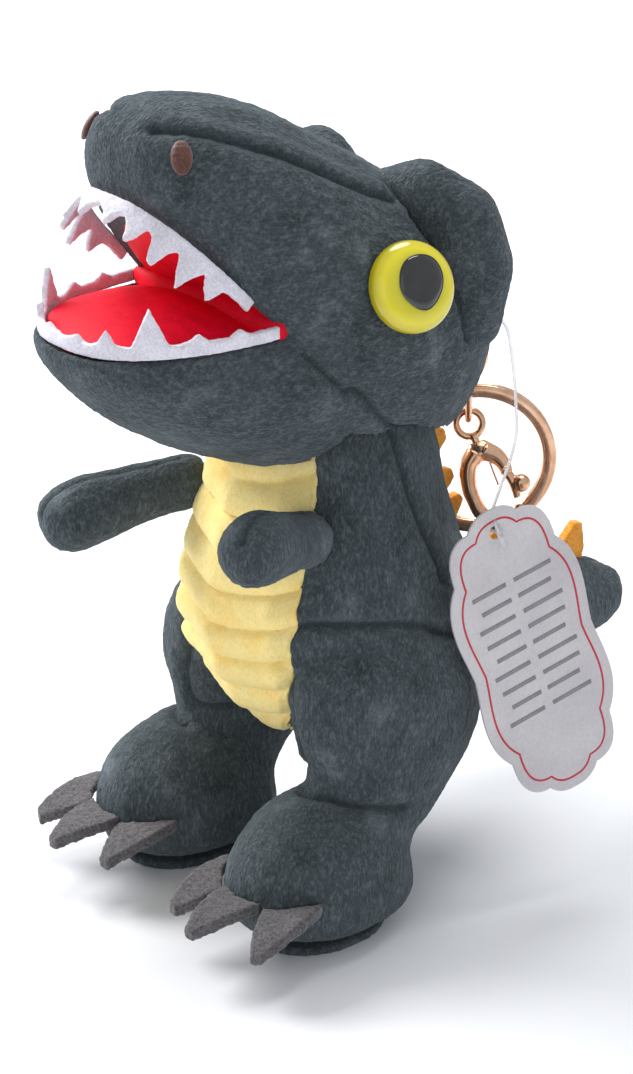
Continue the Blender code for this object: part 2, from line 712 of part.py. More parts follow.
# ---- the lobster clasp, drawn in its own plane from the link's wire down ---------------------
clasp_down = Vector(CLASP_AXIS)
clasp_across = ACROSS - clasp_down * clasp_down.dot(ACROSS)
clasp_across.normalize()
clasp_facing = clasp_across.cross(clasp_down)
CLASP_PLANE = Matrix((clasp_across, clasp_down, clasp_facing)).transposed().to_4x4()
clasp_pivot = pivot_empty("clasp_pivot", at(hook))
swivel_pivot = pivot_empty("swivel_pivot", at(hook, turned_to(clasp_down)))
AT_HOOK = at(hook, CLASP_PLANE)
IN_CLASP = AT_HOOK @ at((0, 0.3, 0))
gate_pivot = pivot_empty("gate_pivot", IN_CLASP @ at((*GATE_PIVOT, 0)))
ALONG_CLASP = Matrix.Rotation(math.radians(-90), 4, "X")  # takes a rod's +Z to the plane's y
EYE_RING, EYE_WIRE = 2.5, 0.7
EYE_DROP = EYE_RING - (WIRE + EYE_WIRE + GAP)  # from the link's wire to the middle of the eye
STEM = 0.8

eye_line = [(x, y, 0) for x, y in arc((0, EYE_DROP), EYE_RING, 0, 342, 19)]
swivel = wire("clasp_swivel", eye_line, EYE_WIRE, closed=True, placing=AT_HOOK)
stem = helper(rod("swivel_stem", STEM, 4.4, IN_CLASP @ at((0, 5.2, 0), ALONG_CLASP)))
stem_head = helper(rod("swivel_head", 1.6, 0.9, IN_CLASP @ at((0, 7.4, 0), ALONG_CLASP)))
cut(swivel, stem, stem_head, operation="UNION")
hang(place(swivel, ROSE_GOLD), clasp_pivot)

# The hook's edge: past the gate's seat, round its inside to the tip, and back up its outside.
hook_seat = [
    (2.6, 4.3), (3.6, 7.0), (4.9, 10.2), (4.7, 12.4), (2.2, 12.4),
]  # fmt: skip
hook_inside = [
    (1.9, 9.0), (1.9, 6.6), (-1.9, 6.6), (-2.3, 9.5), (-2.9, 13.5), (-2.7, 17.0), (-1.4, 19.2),
    (0.6, 19.7), (2.3, 18.9), (2.9, 17.5),
]  # fmt: skip
hook_outside = [
    (4.7, 17.6), (4.5, 19.2), (3.0, 21.0), (0, 22.0), (-3.0, 21.0), (-4.9, 18.0), (-5.3, 14.0),
    (-4.9, 10.2), (-3.6, 7.0), (-2.6, 4.3),
]  # fmt: skip
body = plate("clasp_body", [hook_seat + hook_inside + hook_outside], CLASP_THICKNESS, IN_CLASP)
bore = helper(rod("swivel_bore", STEM + GAP, 6, IN_CLASP @ at((0, 5, 0), ALONG_CLASP)))
slot = helper(plate("gate_slot", [[(1.4, 9.15), (6, 9.15), (6, 13), (1.4, 13)]], 2.2, IN_CLASP))
pin_hole = helper(rod("pin_hole", 0.9, 6, IN_CLASP @ at((*GATE_PIVOT, 0)), segments=12))
hang(place(cut(body, bore, slot, pin_hole), ROSE_GOLD), swivel_pivot)
pin = rod("gate_pin", 0.55, 4.0, IN_CLASP @ at((*GATE_PIVOT, 0)), segments=12)
hang(place(pin, ROSE_GOLD), swivel_pivot)
spring_line = [(1.2, 8.5, 0), (1.2, 10.8, 0), (1.25, 12.2, 0), (1.3, 13.4, 0)]
hang(place(wire("gate_spring", spring_line, 0.2, placing=IN_CLASP), ROSE_GOLD), swivel_pivot)

gate_outline = [(2.5, 12.0)] + arc(GATE_PIVOT, 1.35, 160, 380, 8)
gate_outline += [(4.9, 14.0), (4.6, 16.95), (3.1, 16.95)]
gate = plate("clasp_gate", [gate_outline, arc(GATE_PIVOT, 0.9, 0, 330, 11)], 1.5, IN_CLASP)
knob = helper(rod("gate_knob", 1.8, 3.0, IN_CLASP @ at((5.3, 14.8, 0))))
cut(gate, knob, operation="UNION")
hang(place(gate, ROSE_GOLD), gate_pivot)


# ---- the hang tag on its clear filament ------------------------------------------------------
tag_pivot = pivot_empty("tag_pivot", at(FILAMENT_ROUTE[0]))
facing = TAG_FACING.normalized()
up = -(TAG_DOWN - facing * TAG_DOWN.dot(facing)).normalized()
IN_TAG = at(TAG_CENTRE, Matrix((up.cross(facing), up, facing)).transposed().to_4x4())


def scalloped(width, height, lobes=10, depth=1.4, steps=60):
    """An oval with a wavy edge."""
    outline = []
    for step in range(steps):
        angle = math.tau * step / steps
        swell = depth * abs(math.sin(lobes * angle / 2)) - depth
        corner = abs(math.cos(angle)) ** 0.75, abs(math.sin(angle)) ** 0.75
        x = (width / 2 + swell) * math.copysign(corner[0], math.cos(angle))
        y = (height / 2 + swell) * math.copysign(corner[1], math.sin(angle))
        outline.append((x, y))
    return outline


hole = arc((0, TAG_HOLE), 1.3, 0, 330, 11)
tag = plate("hang_tag", [scalloped(*TAG_SIZE), hole], TAG_THICKNESS, IN_TAG)
hang(place(tag, CARD), tag_pivot)

hole_centre = IN_TAG @ Vector((0, TAG_HOLE * MM, 0)) / MM
last_points = [hole_centre + facing * reach for reach in (-3.2, -1.2, 0.8)]


def smooth_line(points, steps):
    """Points along a smooth curve through the given ones."""
    line = []
    padded = [2 * points[0] - points[1], *points, 2 * points[-1] - points[-2]]
    for a, b, c, d in zip(padded, padded[1:], padded[2:], padded[3:]):
        for step in range(steps):
            t = step / steps
            bend = (2 * a - 5 * b + 4 * c - d) * t**2 + (3 * b - a - 3 * c + d) * t**3
            line.append(0.5 * (2 * b + (c - a) * t + bend))
    return line + [points[-1]]


route = smooth_line([Vector(point) for point in FILAMENT_ROUTE] + last_points, 6)
hang(place(wire("tag_filament", route, FILAMENT), CLEAR_PLASTIC), tag_pivot)
placing = at(hole_centre + facing * 1.65, IN_TAG.to_3x3().to_4x4())
paddle = plate("filament_bar", [oblong(1.0, 7.0)], 0.9, placing)
hang(place(paddle, CLEAR_PLASTIC), tag_pivot)
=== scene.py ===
# %% [markdown]
# # A stuffed dinosaur bag charm
#
# The toy is a short plush dinosaur with an open mouth, a chain with a split ring and a lobster
# clasp behind its head, and a card tag on a clear filament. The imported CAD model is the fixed
# frame: it says where every piece sits and which body it moves with. This script makes the
# surfaces that the eye sees, piece by piece, and gives each one its finish.

# %% Load the frame
import math

import bmesh
import bpy
import numpy as np
from mathutils import Matrix, Vector, noise
from mathutils.bvhtree import BVHTree


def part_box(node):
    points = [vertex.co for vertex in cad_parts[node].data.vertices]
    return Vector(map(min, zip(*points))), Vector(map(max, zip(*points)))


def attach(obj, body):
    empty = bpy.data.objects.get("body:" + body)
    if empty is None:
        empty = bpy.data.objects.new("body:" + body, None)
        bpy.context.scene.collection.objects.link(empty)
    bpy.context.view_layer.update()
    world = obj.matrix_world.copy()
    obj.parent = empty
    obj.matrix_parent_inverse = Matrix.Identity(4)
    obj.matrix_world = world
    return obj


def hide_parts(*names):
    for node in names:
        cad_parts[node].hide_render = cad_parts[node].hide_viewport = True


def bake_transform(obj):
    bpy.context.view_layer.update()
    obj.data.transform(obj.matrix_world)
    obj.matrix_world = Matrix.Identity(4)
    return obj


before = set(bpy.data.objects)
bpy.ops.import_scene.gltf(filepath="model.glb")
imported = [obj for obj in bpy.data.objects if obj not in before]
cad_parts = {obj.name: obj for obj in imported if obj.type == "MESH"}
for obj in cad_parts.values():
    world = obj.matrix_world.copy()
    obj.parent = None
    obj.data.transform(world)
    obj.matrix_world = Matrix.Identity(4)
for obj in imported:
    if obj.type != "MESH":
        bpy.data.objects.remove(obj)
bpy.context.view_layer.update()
MM = 0.001

# %% [markdown]
# The toy's own measures run from a point on the floor under its hips. The frame's origin is
# under the middle of the whole footprint, tail included, so one small function turns the toy's
# millimetres into the frame's metres.

# %% Places on the toy
HIPS_TO_MIDDLE = 11.2


def at(x, y, z):
    """A point in the toy's own millimetres, in the frame's metres."""
    return Vector((x, y - HIPS_TO_MIDDLE, z)) * MM


def middle(node):
    """The middle of a CAD node's box."""
    low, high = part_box(node)
    return (low + high) / 2


# %% [markdown]
# The camera comes first, because every later look depends on it. It stands to the toy's left
# front and a little above it, with a long lens, which keeps the snout from looming. Turning it
# with to_track_quat makes the lens look straight at a point in the toy's middle.

# %% Camera
AZIMUTH, ELEVATION = math.radians(50), math.radians(24)
DISTANCE = 0.52
LENS = 94.7
LOOK_AT = at(0, 0, 66.8)


def aimed(name, data, place, target):
    """Adds a camera or a light at a place, looking at a target."""
    obj = bpy.data.objects.new(name, data)
    obj.location = place
    obj.rotation_mode = "QUATERNION"
    obj.rotation_quaternion = (target - place).to_track_quat("-Z", "Y")
    bpy.context.scene.collection.objects.link(obj)
    return obj


camera_data = bpy.data.cameras.new("camera")
camera_data.lens = LENS
camera_data.sensor_width = 36.0
back = Vector((
    math.sin(AZIMUTH) * math.cos(ELEVATION),
    -math.cos(AZIMUTH) * math.cos(ELEVATION),
    math.sin(ELEVATION),
))
camera = aimed("camera", camera_data, LOOK_AT + back * DISTANCE, LOOK_AT)
bpy.context.scene.camera = camera
print("camera at", [round(c, 3) for c in camera.location])

# %% [markdown]
# A bmesh is a mesh in the workshop: operators cut, spin and extrude it, and when it is done it
# becomes an object. These helpers do that last step, and read and write all the points of a
# mesh at once with numpy, which is much quicker than a loop when there are tens of thousands.

# %% Mesh helpers
def object_from(bm, name):
    """Turns a finished bmesh into an object at the origin, shaded smooth."""
    mesh = bpy.data.meshes.new(name)
    bm.to_mesh(mesh)
    bm.free()
    mesh.shade_smooth()
    obj = bpy.data.objects.new(name, mesh)
    bpy.context.scene.collection.objects.link(obj)
    return obj


def carry(bm, matrix):
    """Moves everything in a bmesh by a matrix."""
    bmesh.ops.transform(bm, matrix=matrix, verts=bm.verts)


def points_of(mesh):
    co = np.empty(len(mesh.vertices) * 3)
    mesh.vertices.foreach_get("co", co)
    return co.reshape(-1, 3)


def normals_of(mesh):
    normals = np.empty(len(mesh.vertices) * 3)
    mesh.vertex_normals.foreach_get("vector", normals)
    return normals.reshape(-1, 3)


def move_points(mesh, co):
    mesh.vertices.foreach_set("co", np.asarray(co, float).ravel())
    mesh.update()


def finish_piece(obj, material, body, nodes=(), slot=None):
    """Gives a piece its finish, its body and the CAD nodes that it stands for."""
    obj.data.materials.clear()
    obj.data.materials.append(material)
    if body:
        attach(obj, body)
    if nodes:
        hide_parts(*nodes)
    print(f"{obj.name}: {len(obj.data.polygons)} faces")
    return obj


def piece_from(bm, name, *finish, **more):
    return finish_piece(object_from(bm, name), *finish, **more)


# %% [markdown]
# Wire, thread and tube are all one shape: a small circle carried along a line. The circle is
# extruded edge by edge, and each new ring of points is moved on with bmesh.ops.transform. The
# frame that carries it turns as little as it can from step to step, so that the tube never
# twists. A closed line is bridged back to its start, and an open one gets two end faces.

# %% Sweep helper
def carried_frames(line, closed):
    """A turning frame for each point of a line, its Z along the line."""
    count = len(line)
    tangents = []
    for index in range(count):
        after = line[(index + 1) % count] if closed or index + 1 < count else line[index]
        before = line[index - 1] if closed or index else line[index]
        tangents.append((after - before).normalized())
    turn = tangents[0].to_track_quat("Z", "Y")
    frames = []
    for index, tangent in enumerate(tangents):
        if index:
            turn = tangents[index - 1].rotation_difference(tangent) @ turn
        frames.append(Matrix.Translation(line[index]) @ turn.to_matrix().to_4x4())
    return frames


def sweep(bm, line, radius, sides=12, closed=False, flat=1.0):
    """Carries a circle, or an oval with flat under 1, along a line. radius may be one per point."""
    radii = radius if isinstance(radius, (list, tuple)) else [radius] * len(line)
    sizes = [Matrix.Diagonal((r, r * flat, r, 1)) for r in radii]
    frames = [f @ s for f, s in zip(carried_frames(line, closed), sizes)]
    start = bmesh.ops.create_circle(bm, segments=sides, radius=1, matrix=frames[0])["verts"]
    first = list({edge for vert in start for edge in vert.link_edges})
    edges = first
    for before, after in zip(frames, frames[1:]):
        grown = bmesh.ops.extrude_edge_only(bm, edges=edges)["geom"]
        verts = [item for item in grown if isinstance(item, bmesh.types.BMVert)]
        ring = set(verts)
        edges = [item for item in grown if isinstance(item, bmesh.types.BMEdge) and set(item.verts) <= ring]
        bmesh.ops.transform(bm, matrix=after @ before.inverted(), verts=verts)
    if closed:
        bmesh.ops.bridge_loops(bm, edges=first + edges)
    else:
        bmesh.ops.holes_fill(bm, edges=[edge for edge in first + edges if edge.is_boundary], sides=0)
    bmesh.ops.recalc_face_normals(bm, faces=bm.faces)


def smooth_line(points, steps):
    """Points along a smooth curve through the given ones."""
    line = []
    padded = [2 * points[0] - points[1], *points, 2 * points[-1] - points[-2]]
    for a, b, c, d in zip(padded, padded[1:], padded[2:], padded[3:]):
        for step in range(steps):
            t = step / steps
            bend = (c - a) * t + (2 * a - 5 * b + 4 * c - d) * t * t + (3 * b - a - 3 * c + d) * t**3
            line.append(b + 0.5 * bend)
    return line + [points[-1]]


# %% [markdown]
# ## Materials
#
# Every finish is one Principled shader. Numbers that are the same all over a piece sit on the
# shader itself, and only what really varies over the surface comes through nodes: colour,
# roughness and bump. Noise is measured in metres on the object, so that a grain keeps its size on
# a large piece and on a small one.

# %% Material helpers
def shader(name, **values):
    """A material with one Principled shader and the given constant values on its sockets."""
    material = bpy.data.materials.new(name)
    material.use_nodes = True
    bsdf = material.node_tree.nodes["Principled BSDF"]
    for socket, value in values.items():
        bsdf.inputs[socket.replace("_", " ").title().replace("Ior", "IOR")].default_value = value
    return material, bsdf


def add_node(material, kind):
    return material.node_tree.nodes.new("ShaderNode" + kind)


def feed(bsdf, socket, source):
    """Lets a source drive one socket of a shader."""
    bsdf.id_data.links.new(source, bsdf.inputs[socket])


def grain(material, size, detail=2.0, stretch=(1, 1, 1)):
    """A noise whose spots are about size millimetres across, longer where stretch is more."""
    links = material.node_tree.links
    place = add_node(material, "TexCoord")
    mapping = add_node(material, "Mapping")
    mapping.inputs["Scale"].default_value = [1 / (size * MM * s) for s in stretch]
    texture = add_node(material, "TexNoise")
    texture.inputs["Scale"].default_value = 1.0
    texture.inputs["Detail"].default_value = detail
    links.new(place.outputs["Object"], mapping.inputs["Vector"])
    links.new(mapping.outputs["Vector"], texture.inputs["Vector"])
    return texture.outputs["Fac"]


def ramp(material, source, stops):
    """Colours, or greys given as one number, along a source that runs from 0 to 1."""
    node = add_node(material, "ValToRGB")
    material.node_tree.links.new(source, node.inputs["Fac"])
    elements = node.color_ramp.elements
    while len(elements) < len(stops):
        elements.new(0.5)
    for element, (place, colour) in zip(elements, stops):
        element.position = place
        element.color = (*([colour] * 3 if isinstance(colour, (int, float)) else colour), 1)
    return node.outputs["Color"]


def mixed(material, a, b, share, blend="MIX"):
    """Two colours mixed. share is a number, or a source from 0 to 1."""
    node = add_node(material, "Mix")
    node.data_type = "RGBA"
    node.blend_type = blend
    links = material.node_tree.links
    if isinstance(share, (int, float)):
        node.inputs["Factor"].default_value = share
    else:
        links.new(share, node.inputs["Factor"])
    for socket, value in ((node.inputs[6], a), (node.inputs[7], b)):
        if isinstance(value, tuple):
            socket.default_value = (*value, 1)
        else:
            links.new(value, socket)
    return node.outputs[2]


def added(material, a, b, share):
    """a plus share times b, for bump heights."""
    node = add_node(material, "Math")
    node.operation = "MULTIPLY_ADD"
    node.inputs[1].default_value = share
    material.node_tree.links.new(b, node.inputs[0])
    material.node_tree.links.new(a, node.inputs[2])
    return node.outputs["Value"]


def bump(material, bsdf, height, depth):
    """Lets a height from 0 to 1 push the surface in and out by depth millimetres."""
    node = add_node(material, "Bump")
    node.inputs["Distance"].default_value = depth * MM
    node.inputs["Strength"].default_value = 1.0
    material.node_tree.links.new(height, node.inputs["Height"])
    feed(bsdf, "Normal", node.outputs["Normal"])


def two_toned(name, size, dark, light, spots=(0.3, 0.7), **values):
    """A material whose colour drifts between two tones, in spots about size millimetres across."""
    material, bsdf = shader(name, **values)
    feed(bsdf, "Base Color", ramp(material, grain(material, size, 2), [*zip(spots, (dark, light))]))
    return material, bsdf


def attribute(material, name):
    node = add_node(material, "Attribute")
    node.attribute_name = name
    return node.outputs["Fac"]


# %% [markdown]
# Short-pile plush is a field of fibres about two millimetres long. Close up it shows three
# sizes at once: fine grain where single tufts catch the light, painted as shade between the
# tufts; short streaks along the nap; and broad soft patches of painted sheen where a hand has
# brushed the pile another way. The edges look paler, because there the fibres are seen from the
# side: that is what Sheen is for. An attribute written when the seams are sewn further down
# paints shade into the fold where two panels meet.

# %% Plush
def plush(name, shade, mid, pale, nap, contrast=1.0, pile=0.5):
    """Pile in three tones, its tufts longer along the axes where nap is more."""
    material, bsdf = shader(
        name, roughness=0.92, specular_ior_level=0.18, sheen_weight=0.7, sheen_roughness=0.4
    )
    bsdf.inputs["Sheen Tint"].default_value = (*pale, 1)
    # Broad patches of painted sheen, where the pile lies another way.
    brushed_sheen = grain(material, 8, 3)
    broad = ramp(material, brushed_sheen, [(0.30, shade), (0.46, mid), (0.58, mid), (0.76, pale)])
    streaks = grain(material, 0.6, 3, nap)
    tufts = grain(material, 0.3, 2, nap)
    tips = ramp(material, streaks, [(0.34, shade), (0.52, mid), (0.70, pale)])
    streaked = mixed(material, broad, tips, 0.38 * contrast)
    # Painted shade between the tufts; the tufts that stand up stay lit.
    tuft_shade = ramp(material, tufts, [(0.34, 0.4), (0.64, 1.0)])
    tufted = mixed(material, streaked, tuft_shade, 0.4 * contrast, "MULTIPLY")
    # Painted shade in the seam folds, led by the seam attribute.
    seam_shaded = mixed(material, tufted, shade, attribute(material, "seam_shade"))
    feed(bsdf, "Base Color", seam_shaded)
    bump(material, bsdf, added(material, streaks, tufts, 0.6), pile)
    return material


HEAD_NAP, BODY_NAP = (1, 2.6, 1.5), (1, 1.2, 2.8)
GREYS = (0.036, 0.047, 0.052), (0.076, 0.094, 0.104), (0.185, 0.216, 0.234)
YELLOWS = (0.98, 0.70, 0.22), (1.0, 0.80, 0.32), (1.0, 0.90, 0.50)
head_plush = plush("head_plush", *GREYS, HEAD_NAP)
body_plush = plush("body_plush", *GREYS, BODY_NAP)
belly_plush = plush("belly_plush", *YELLOWS, BODY_NAP, contrast=0.4, pile=0.12)
print("plush in", [m.name for m in (head_plush, body_plush, belly_plush)])

# %% [markdown]
# Felt is short fibres pressed into a sheet with no nap at all, so its noise has no direction. Its
# cut edge is darker and rougher than its face. The mouth's lining is a smooth knit, close to
# felt with a finer grain and a little more shine.

# %% Felt and lining
def felt(name, dark, light, size=0.5, depth=0.25, roughness=0.95, sheen=0.3):
    material, bsdf = shader(
        name, roughness=roughness, specular_ior_level=0.15, sheen_weight=sheen, sheen_roughness=0.5
    )
    fibres = grain(material, size, 4)
    clouds = grain(material, size * 9, 2)
    colour = ramp(material, fibres, [(0.30, dark), (0.66, light)])
    worn = mixed(material, colour, ramp(material, clouds, [(0.3, 0.72), (0.7, 1.0)]), 0.6, "MULTIPLY")
    feed(bsdf, "Base Color", worn)
    bump(material, bsdf, fibres, depth)
    return material


claw_felt = felt("claw_felt", (0.060, 0.055, 0.060), (0.165, 0.155, 0.163))
spike_felt = felt("spike_felt", (0.80, 0.26, 0.02), (1.0, 0.46, 0.06))
tooth_felt = felt("tooth_felt", (0.72, 0.69, 0.79), (0.93, 0.90, 0.97), 0.4, 0.15)
mouth_knit = felt("mouth_knit", (0.82, 0.001, 0.018), (0.98, 0.004, 0.035), 0.3, 0.05, 0.6, 0.0)
print("felt in", [m.name for m in (claw_felt, spike_felt, tooth_felt, mouth_knit)])

# %% [markdown]
# The hard pieces are glossy, so their detail lies in roughness more than in colour. The eyes are
# moulded plastic under a clear coat; their yellow is lighter in a band round the pupil, with
# painted shade next to the pupil and towards the rim. The metal is a pink-gold plating with faint
# rubbing marks. The card is pearly, with a soft fleck, and its grey is partly painted shade.

# %% Plastic, metal and card
def eye_plastic():
    material, bsdf = shader("eye_plastic", roughness=0.16, coat_weight=0.8, coat_roughness=0.05)
    links = material.node_tree.links
    place = add_node(material, "TexCoord")
    both_sides = add_node(material, "VectorMath")
    both_sides.operation = "ABSOLUTE"
    links.new(place.outputs["Object"], both_sides.inputs[0])
    centre = add_node(material, "VectorMath")
    centre.operation = "DISTANCE"
    centre.inputs[1].default_value = (abs(EYE_FACE.x), abs(EYE_FACE.y), abs(EYE_FACE.z))
    links.new(both_sides.outputs["Vector"], centre.inputs[0])
    scaled = add_node(material, "Math")
    scaled.operation = "DIVIDE"
    scaled.inputs[1].default_value = 9 * MM
    links.new(centre.outputs["Value"], scaled.inputs[0])
    # Painted shade: the yellow darkens next to the pupil and towards the rim, lighter in a band between.
    stops = [(0.45, (0.62, 0.56, 0.01)), (0.72, (0.85, 0.74, 0.012)), (0.97, (0.42, 0.33, 0.005))]
    gold = ramp(material, scaled.outputs["Value"], stops)
    feed(bsdf, "Base Color", gold)
    feed(bsdf, "Roughness", ramp(material, grain(material, 1.4, 2), [(0.3, 0.10), (0.7, 0.22)]))
    return material


def worn_metal():
    material, bsdf = two_toned(
        "rose_gold", 4, (0.72, 0.40, 0.24), (0.92, 0.60, 0.40), metallic=1.0, roughness=0.2
    )
    rubbed = grain(material, 0.5, 3, (1, 1, 5))
    feed(bsdf, "Roughness", ramp(material, rubbed, [(0.3, 0.12), (0.7, 0.30)]))
    return material


def printed(name, colour):
    dim = tuple(c * 0.75 for c in colour)
    return two_toned(name, 0.25, dim, colour, (0.3, 0.6), roughness=0.5)[0]


def pearl_card():
    material, bsdf = shader("pearl_card", roughness=0.42, coat_weight=0.25, coat_roughness=0.3)
    fleck = grain(material, 0.6, 4)
    # Pearl clouds in a grey that is partly the card's own tone and partly painted shade.
    clouds = [(0.3, (0.58, 0.55, 0.57)), (0.7, (0.70, 0.67, 0.68))]
    dimmed = ramp(material, fleck, [(0.3, 0.86), (0.6, 1.0)])
    clouds_in_painted_shade = ramp(material, grain(material, 14, 2), clouds)
    feed(bsdf, "Base Color", mixed(material, clouds_in_painted_shade, dimmed, 0.7, "MULTIPLY"))
    bump(material, bsdf, fleck, 0.03)
    return material


def satin_thread(name, dark, light):
    """Thread laid side by side: the ridges are real, so the material adds only the twist."""
    material, bsdf = shader(name, roughness=0.5, sheen_weight=0.4, specular_ior_level=0.4)
    twist = grain(material, 0.25, 3, (1, 1, 3))
    feed(bsdf, "Base Color", ramp(material, twist, [(0.3, dark), (0.7, light)]))
    bump(material, bsdf, twist, 0.05)
    return material


side_normal = Vector((0.91, -0.20, 0.36)).normalized()
EYE = Vector((26.2, -1.5, 122.4))
EYE_FACE = at(*EYE) + side_normal * 2 * MM
eye_yellow = eye_plastic()
pupil_black, _ = two_toned(
    "pupil_gloss", 2.5, (0.004, 0.005, 0.005), (0.012, 0.014, 0.013),
    roughness=0.08, coat_weight=1.0, coat_roughness=0.03,
)
rose_gold = worn_metal()
card = pearl_card()
nylon, _ = two_toned(
    "clear_nylon", 1.5, (0.86, 0.88, 0.92), (0.98, 0.98, 1.0),
    roughness=0.25, transmission_weight=0.75, ior=1.5,
)
red_ink = printed("red_ink", (0.62, 0.03, 0.06))
grey_ink = printed("grey_ink", (0.30, 0.29, 0.31))
brown_thread = satin_thread("brown_thread", (0.045, 0.012, 0.008), (0.16, 0.05, 0.03))
ribbon_weave = satin_thread("ribbon_weave", (0.03, 0.045, 0.055), (0.11, 0.14, 0.16))
print("hard finishes:", [m.name for m in (eye_yellow, pupil_black, rose_gold, card, nylon)])

# %% [markdown]
# ## The tag on its filament
#
# A clear nylon thread is pushed through the plush behind the head, arches down past the chain and
# ends in a small cross bar behind the card's hole. Its route is a handful of given points, and the
# line between them is a smooth curve.

# %% Filament
TAG_MIDDLE = at(35.0, 22.3, 49.6)
tag_facing = Vector((0.968, -0.221, 0.12)).normalized()
tag_down = Vector((0.175, 0.249, -0.953))
tag_up = -(tag_down - tag_facing * tag_down.dot(tag_facing)).normalized()
TAG_WIDTH, TAG_HEIGHT, TAG_THICKNESS = 28.6, 59.4, 0.6
TAG_HOLE = 25.2
FILAMENT_RADIUS = 0.3
tag_turn = Matrix((tag_up.cross(tag_facing), tag_up, tag_facing)).transposed().to_4x4()
in_tag = Matrix.Translation(TAG_MIDDLE) @ tag_turn
hole = in_tag @ Vector((0, TAG_HOLE * MM, 0))
filament_points = [
    at(11, 32.4, 106.0), at(14.5, 33.0, 104.0), at(18.5, 31.0, 98.5), at(22, 28.6, 92.5), at(26, 24.6, 86.5),
    hole - tag_facing * 3.2 * MM, hole - tag_facing * 1.2 * MM, hole + tag_facing * 0.8 * MM,
]
filament_line = smooth_line(filament_points, 6)
filament_length = sum((b - a).length for a, b in zip(filament_line, filament_line[1:]))

bm = bmesh.new()
sweep(bm, filament_line, FILAMENT_RADIUS * MM, sides=10)
filament = piece_from(bm, "tag_thread", nylon, "tag", ["tag_filament"], "clear_plastic")
print("filament:", round(filament_length / MM, 1), "mm long")

# %% [markdown]
# The card is die-cut: an oval with a wavy edge. The outline follows a formula, a row of shallow
# lobes round an oval, so its points are computed and joined into one face, which is then extruded
# to the card's thickness and given a fine bevel. The print is a thin raised layer: a red line
# that follows the edge, and plain ruled bars where a real tag would have its small print.

# %% Tag outline
LOBES, LOBE_DEPTH = 10, 1.4


def wavy_oval(inset=0.0, steps=240):
    """The card's outline in millimetres, or a line that keeps inside it by inset."""
    outline = []
    for step in range(steps):
        angle = math.tau * step / steps
        swell = LOBE_DEPTH * abs(math.sin(LOBES * angle / 2)) - LOBE_DEPTH - inset
        x = (TAG_WIDTH / 2 + swell) * math.copysign(abs(math.cos(angle)) ** 0.75, math.cos(angle))
        y = (TAG_HEIGHT / 2 + swell) * math.copysign(abs(math.sin(angle)) ** 0.75, math.sin(angle))
        outline.append(Vector((x, y, 0)))
    return outline


def flat_loop(bm, points):
    """A closed loop of edges through the points, in millimetres."""
    verts = [bm.verts.new(point * MM) for point in points]
    return [bm.edges.new((a, b)) for a, b in zip(verts, verts[1:] + verts[:1])]


def thick_plate(bm, height, base):
    """Gives the flat faces in a bmesh a thickness, upwards from base, in millimetres."""
    grown = bmesh.ops.extrude_face_region(bm, geom=bm.faces[:])["geom"]
    risen = [item for item in grown if isinstance(item, bmesh.types.BMVert)]
    bmesh.ops.translate(bm, verts=bm.verts, vec=(0, 0, base * MM))
    bmesh.ops.translate(bm, verts=risen, vec=(0, 0, height * MM))
    bmesh.ops.recalc_face_normals(bm, faces=bm.faces)


def hole_ring(radius, steps=32):
    angles = [math.tau * step / steps for step in range(steps)]
    return [Vector((radius * math.cos(a), TAG_HOLE + radius * math.sin(a), 0)) for a in angles]


bm = bmesh.new()
edges = flat_loop(bm, wavy_oval()) + flat_loop(bm, hole_ring(1.3))
bmesh.ops.triangle_fill(bm, use_beauty=True, edges=edges)
thick_plate(bm, TAG_THICKNESS, -TAG_THICKNESS / 2)
rim = [edge for edge in bm.edges if edge.calc_face_angle(0) > math.radians(60)]
bmesh.ops.bevel(bm, geom=rim, offset=0.12 * MM, affect="EDGES", segments=2, profile=0.5, material=-1)
carry(bm, in_tag)
tag = piece_from(bm, "card_tag", card, "tag", ["hang_tag"], "card")
tag.data.set_sharp_from_angle(angle=math.radians(40))

# %% Tag print
INK = 0.05

# A flat tube along the edge, pressed into the card.
bm = bmesh.new()
border = [point * MM for point in wavy_oval(2.2, 160)]
sweep(bm, border, 0.22 * MM, sides=6, closed=True, flat=0.25)
bmesh.ops.translate(bm, verts=bm.verts, vec=(0, 0, (TAG_THICKNESS / 2 + INK / 4) * MM))
carry(bm, in_tag)
red_line = piece_from(bm, "tag_border_print", red_ink, "tag", slot="card")

bm = bmesh.new()
BAR_ROWS = 9
for row in range(BAR_ROWS):
    row_y = 15 - row * 3.3
    half_row = (8.6, 7.6, 9.1)[row % 3]
    for start, end in ((-half_row, -half_row * 0.15), (half_row * 0.05, half_row)):
        bar = bmesh.ops.create_grid(bm, x_segments=1, y_segments=1, size=0.5)["verts"]
        bmesh.ops.scale(bm, vec=((end - start) * MM, 0.85 * MM, 1), verts=bar)
        bmesh.ops.translate(bm, vec=((start + end) / 2 * MM, row_y * MM, 0), verts=bar)
thick_plate(bm, INK, TAG_THICKNESS / 2)
carry(bm, in_tag)
bars = piece_from(bm, "tag_bars_print", grey_ink, "tag", slot="card")

# %% [markdown]
# The cross bar is what keeps the thread from slipping back through the card: a little moulded
# stick with round ends, lying flat on the front of the card across the hole.

# %% Cross bar
bm = bmesh.new()
bar_middle = hole + tag_facing * 1.65 * MM
bar_line = [bar_middle + tag_up * (step / 2 - 3) * MM for step in range(13)]
bar_radii = [0.5 * MM * math.sqrt(max(0.06, 1 - (abs(step - 6) / 6) ** 6)) for step in range(13)]
sweep(bm, bar_line, bar_radii, sides=12)
cross_bar = piece_from(bm, "thread_bar", nylon, "tag", ["filament_bar"], "clear_plastic")
tuple(filament_points[0])
[tuple(p) for p in filament_line]

# %% [markdown]
# ## Stuffed forms
#
# A stuffed toy is a fabric skin blown tight over loose fibre. The CAD model has the cover as a
# shell and the stuffing as a solid, with a gap between them. For the looks only the outer skin
# matters, so copies of both are joined, the stuffing is fattened until it meets the cover, and a
# voxel Remesh modifier turns the lot into one even skin of small squares. An even skin is what
# sewing and brushing need afterwards: every stretch of it has points to move.

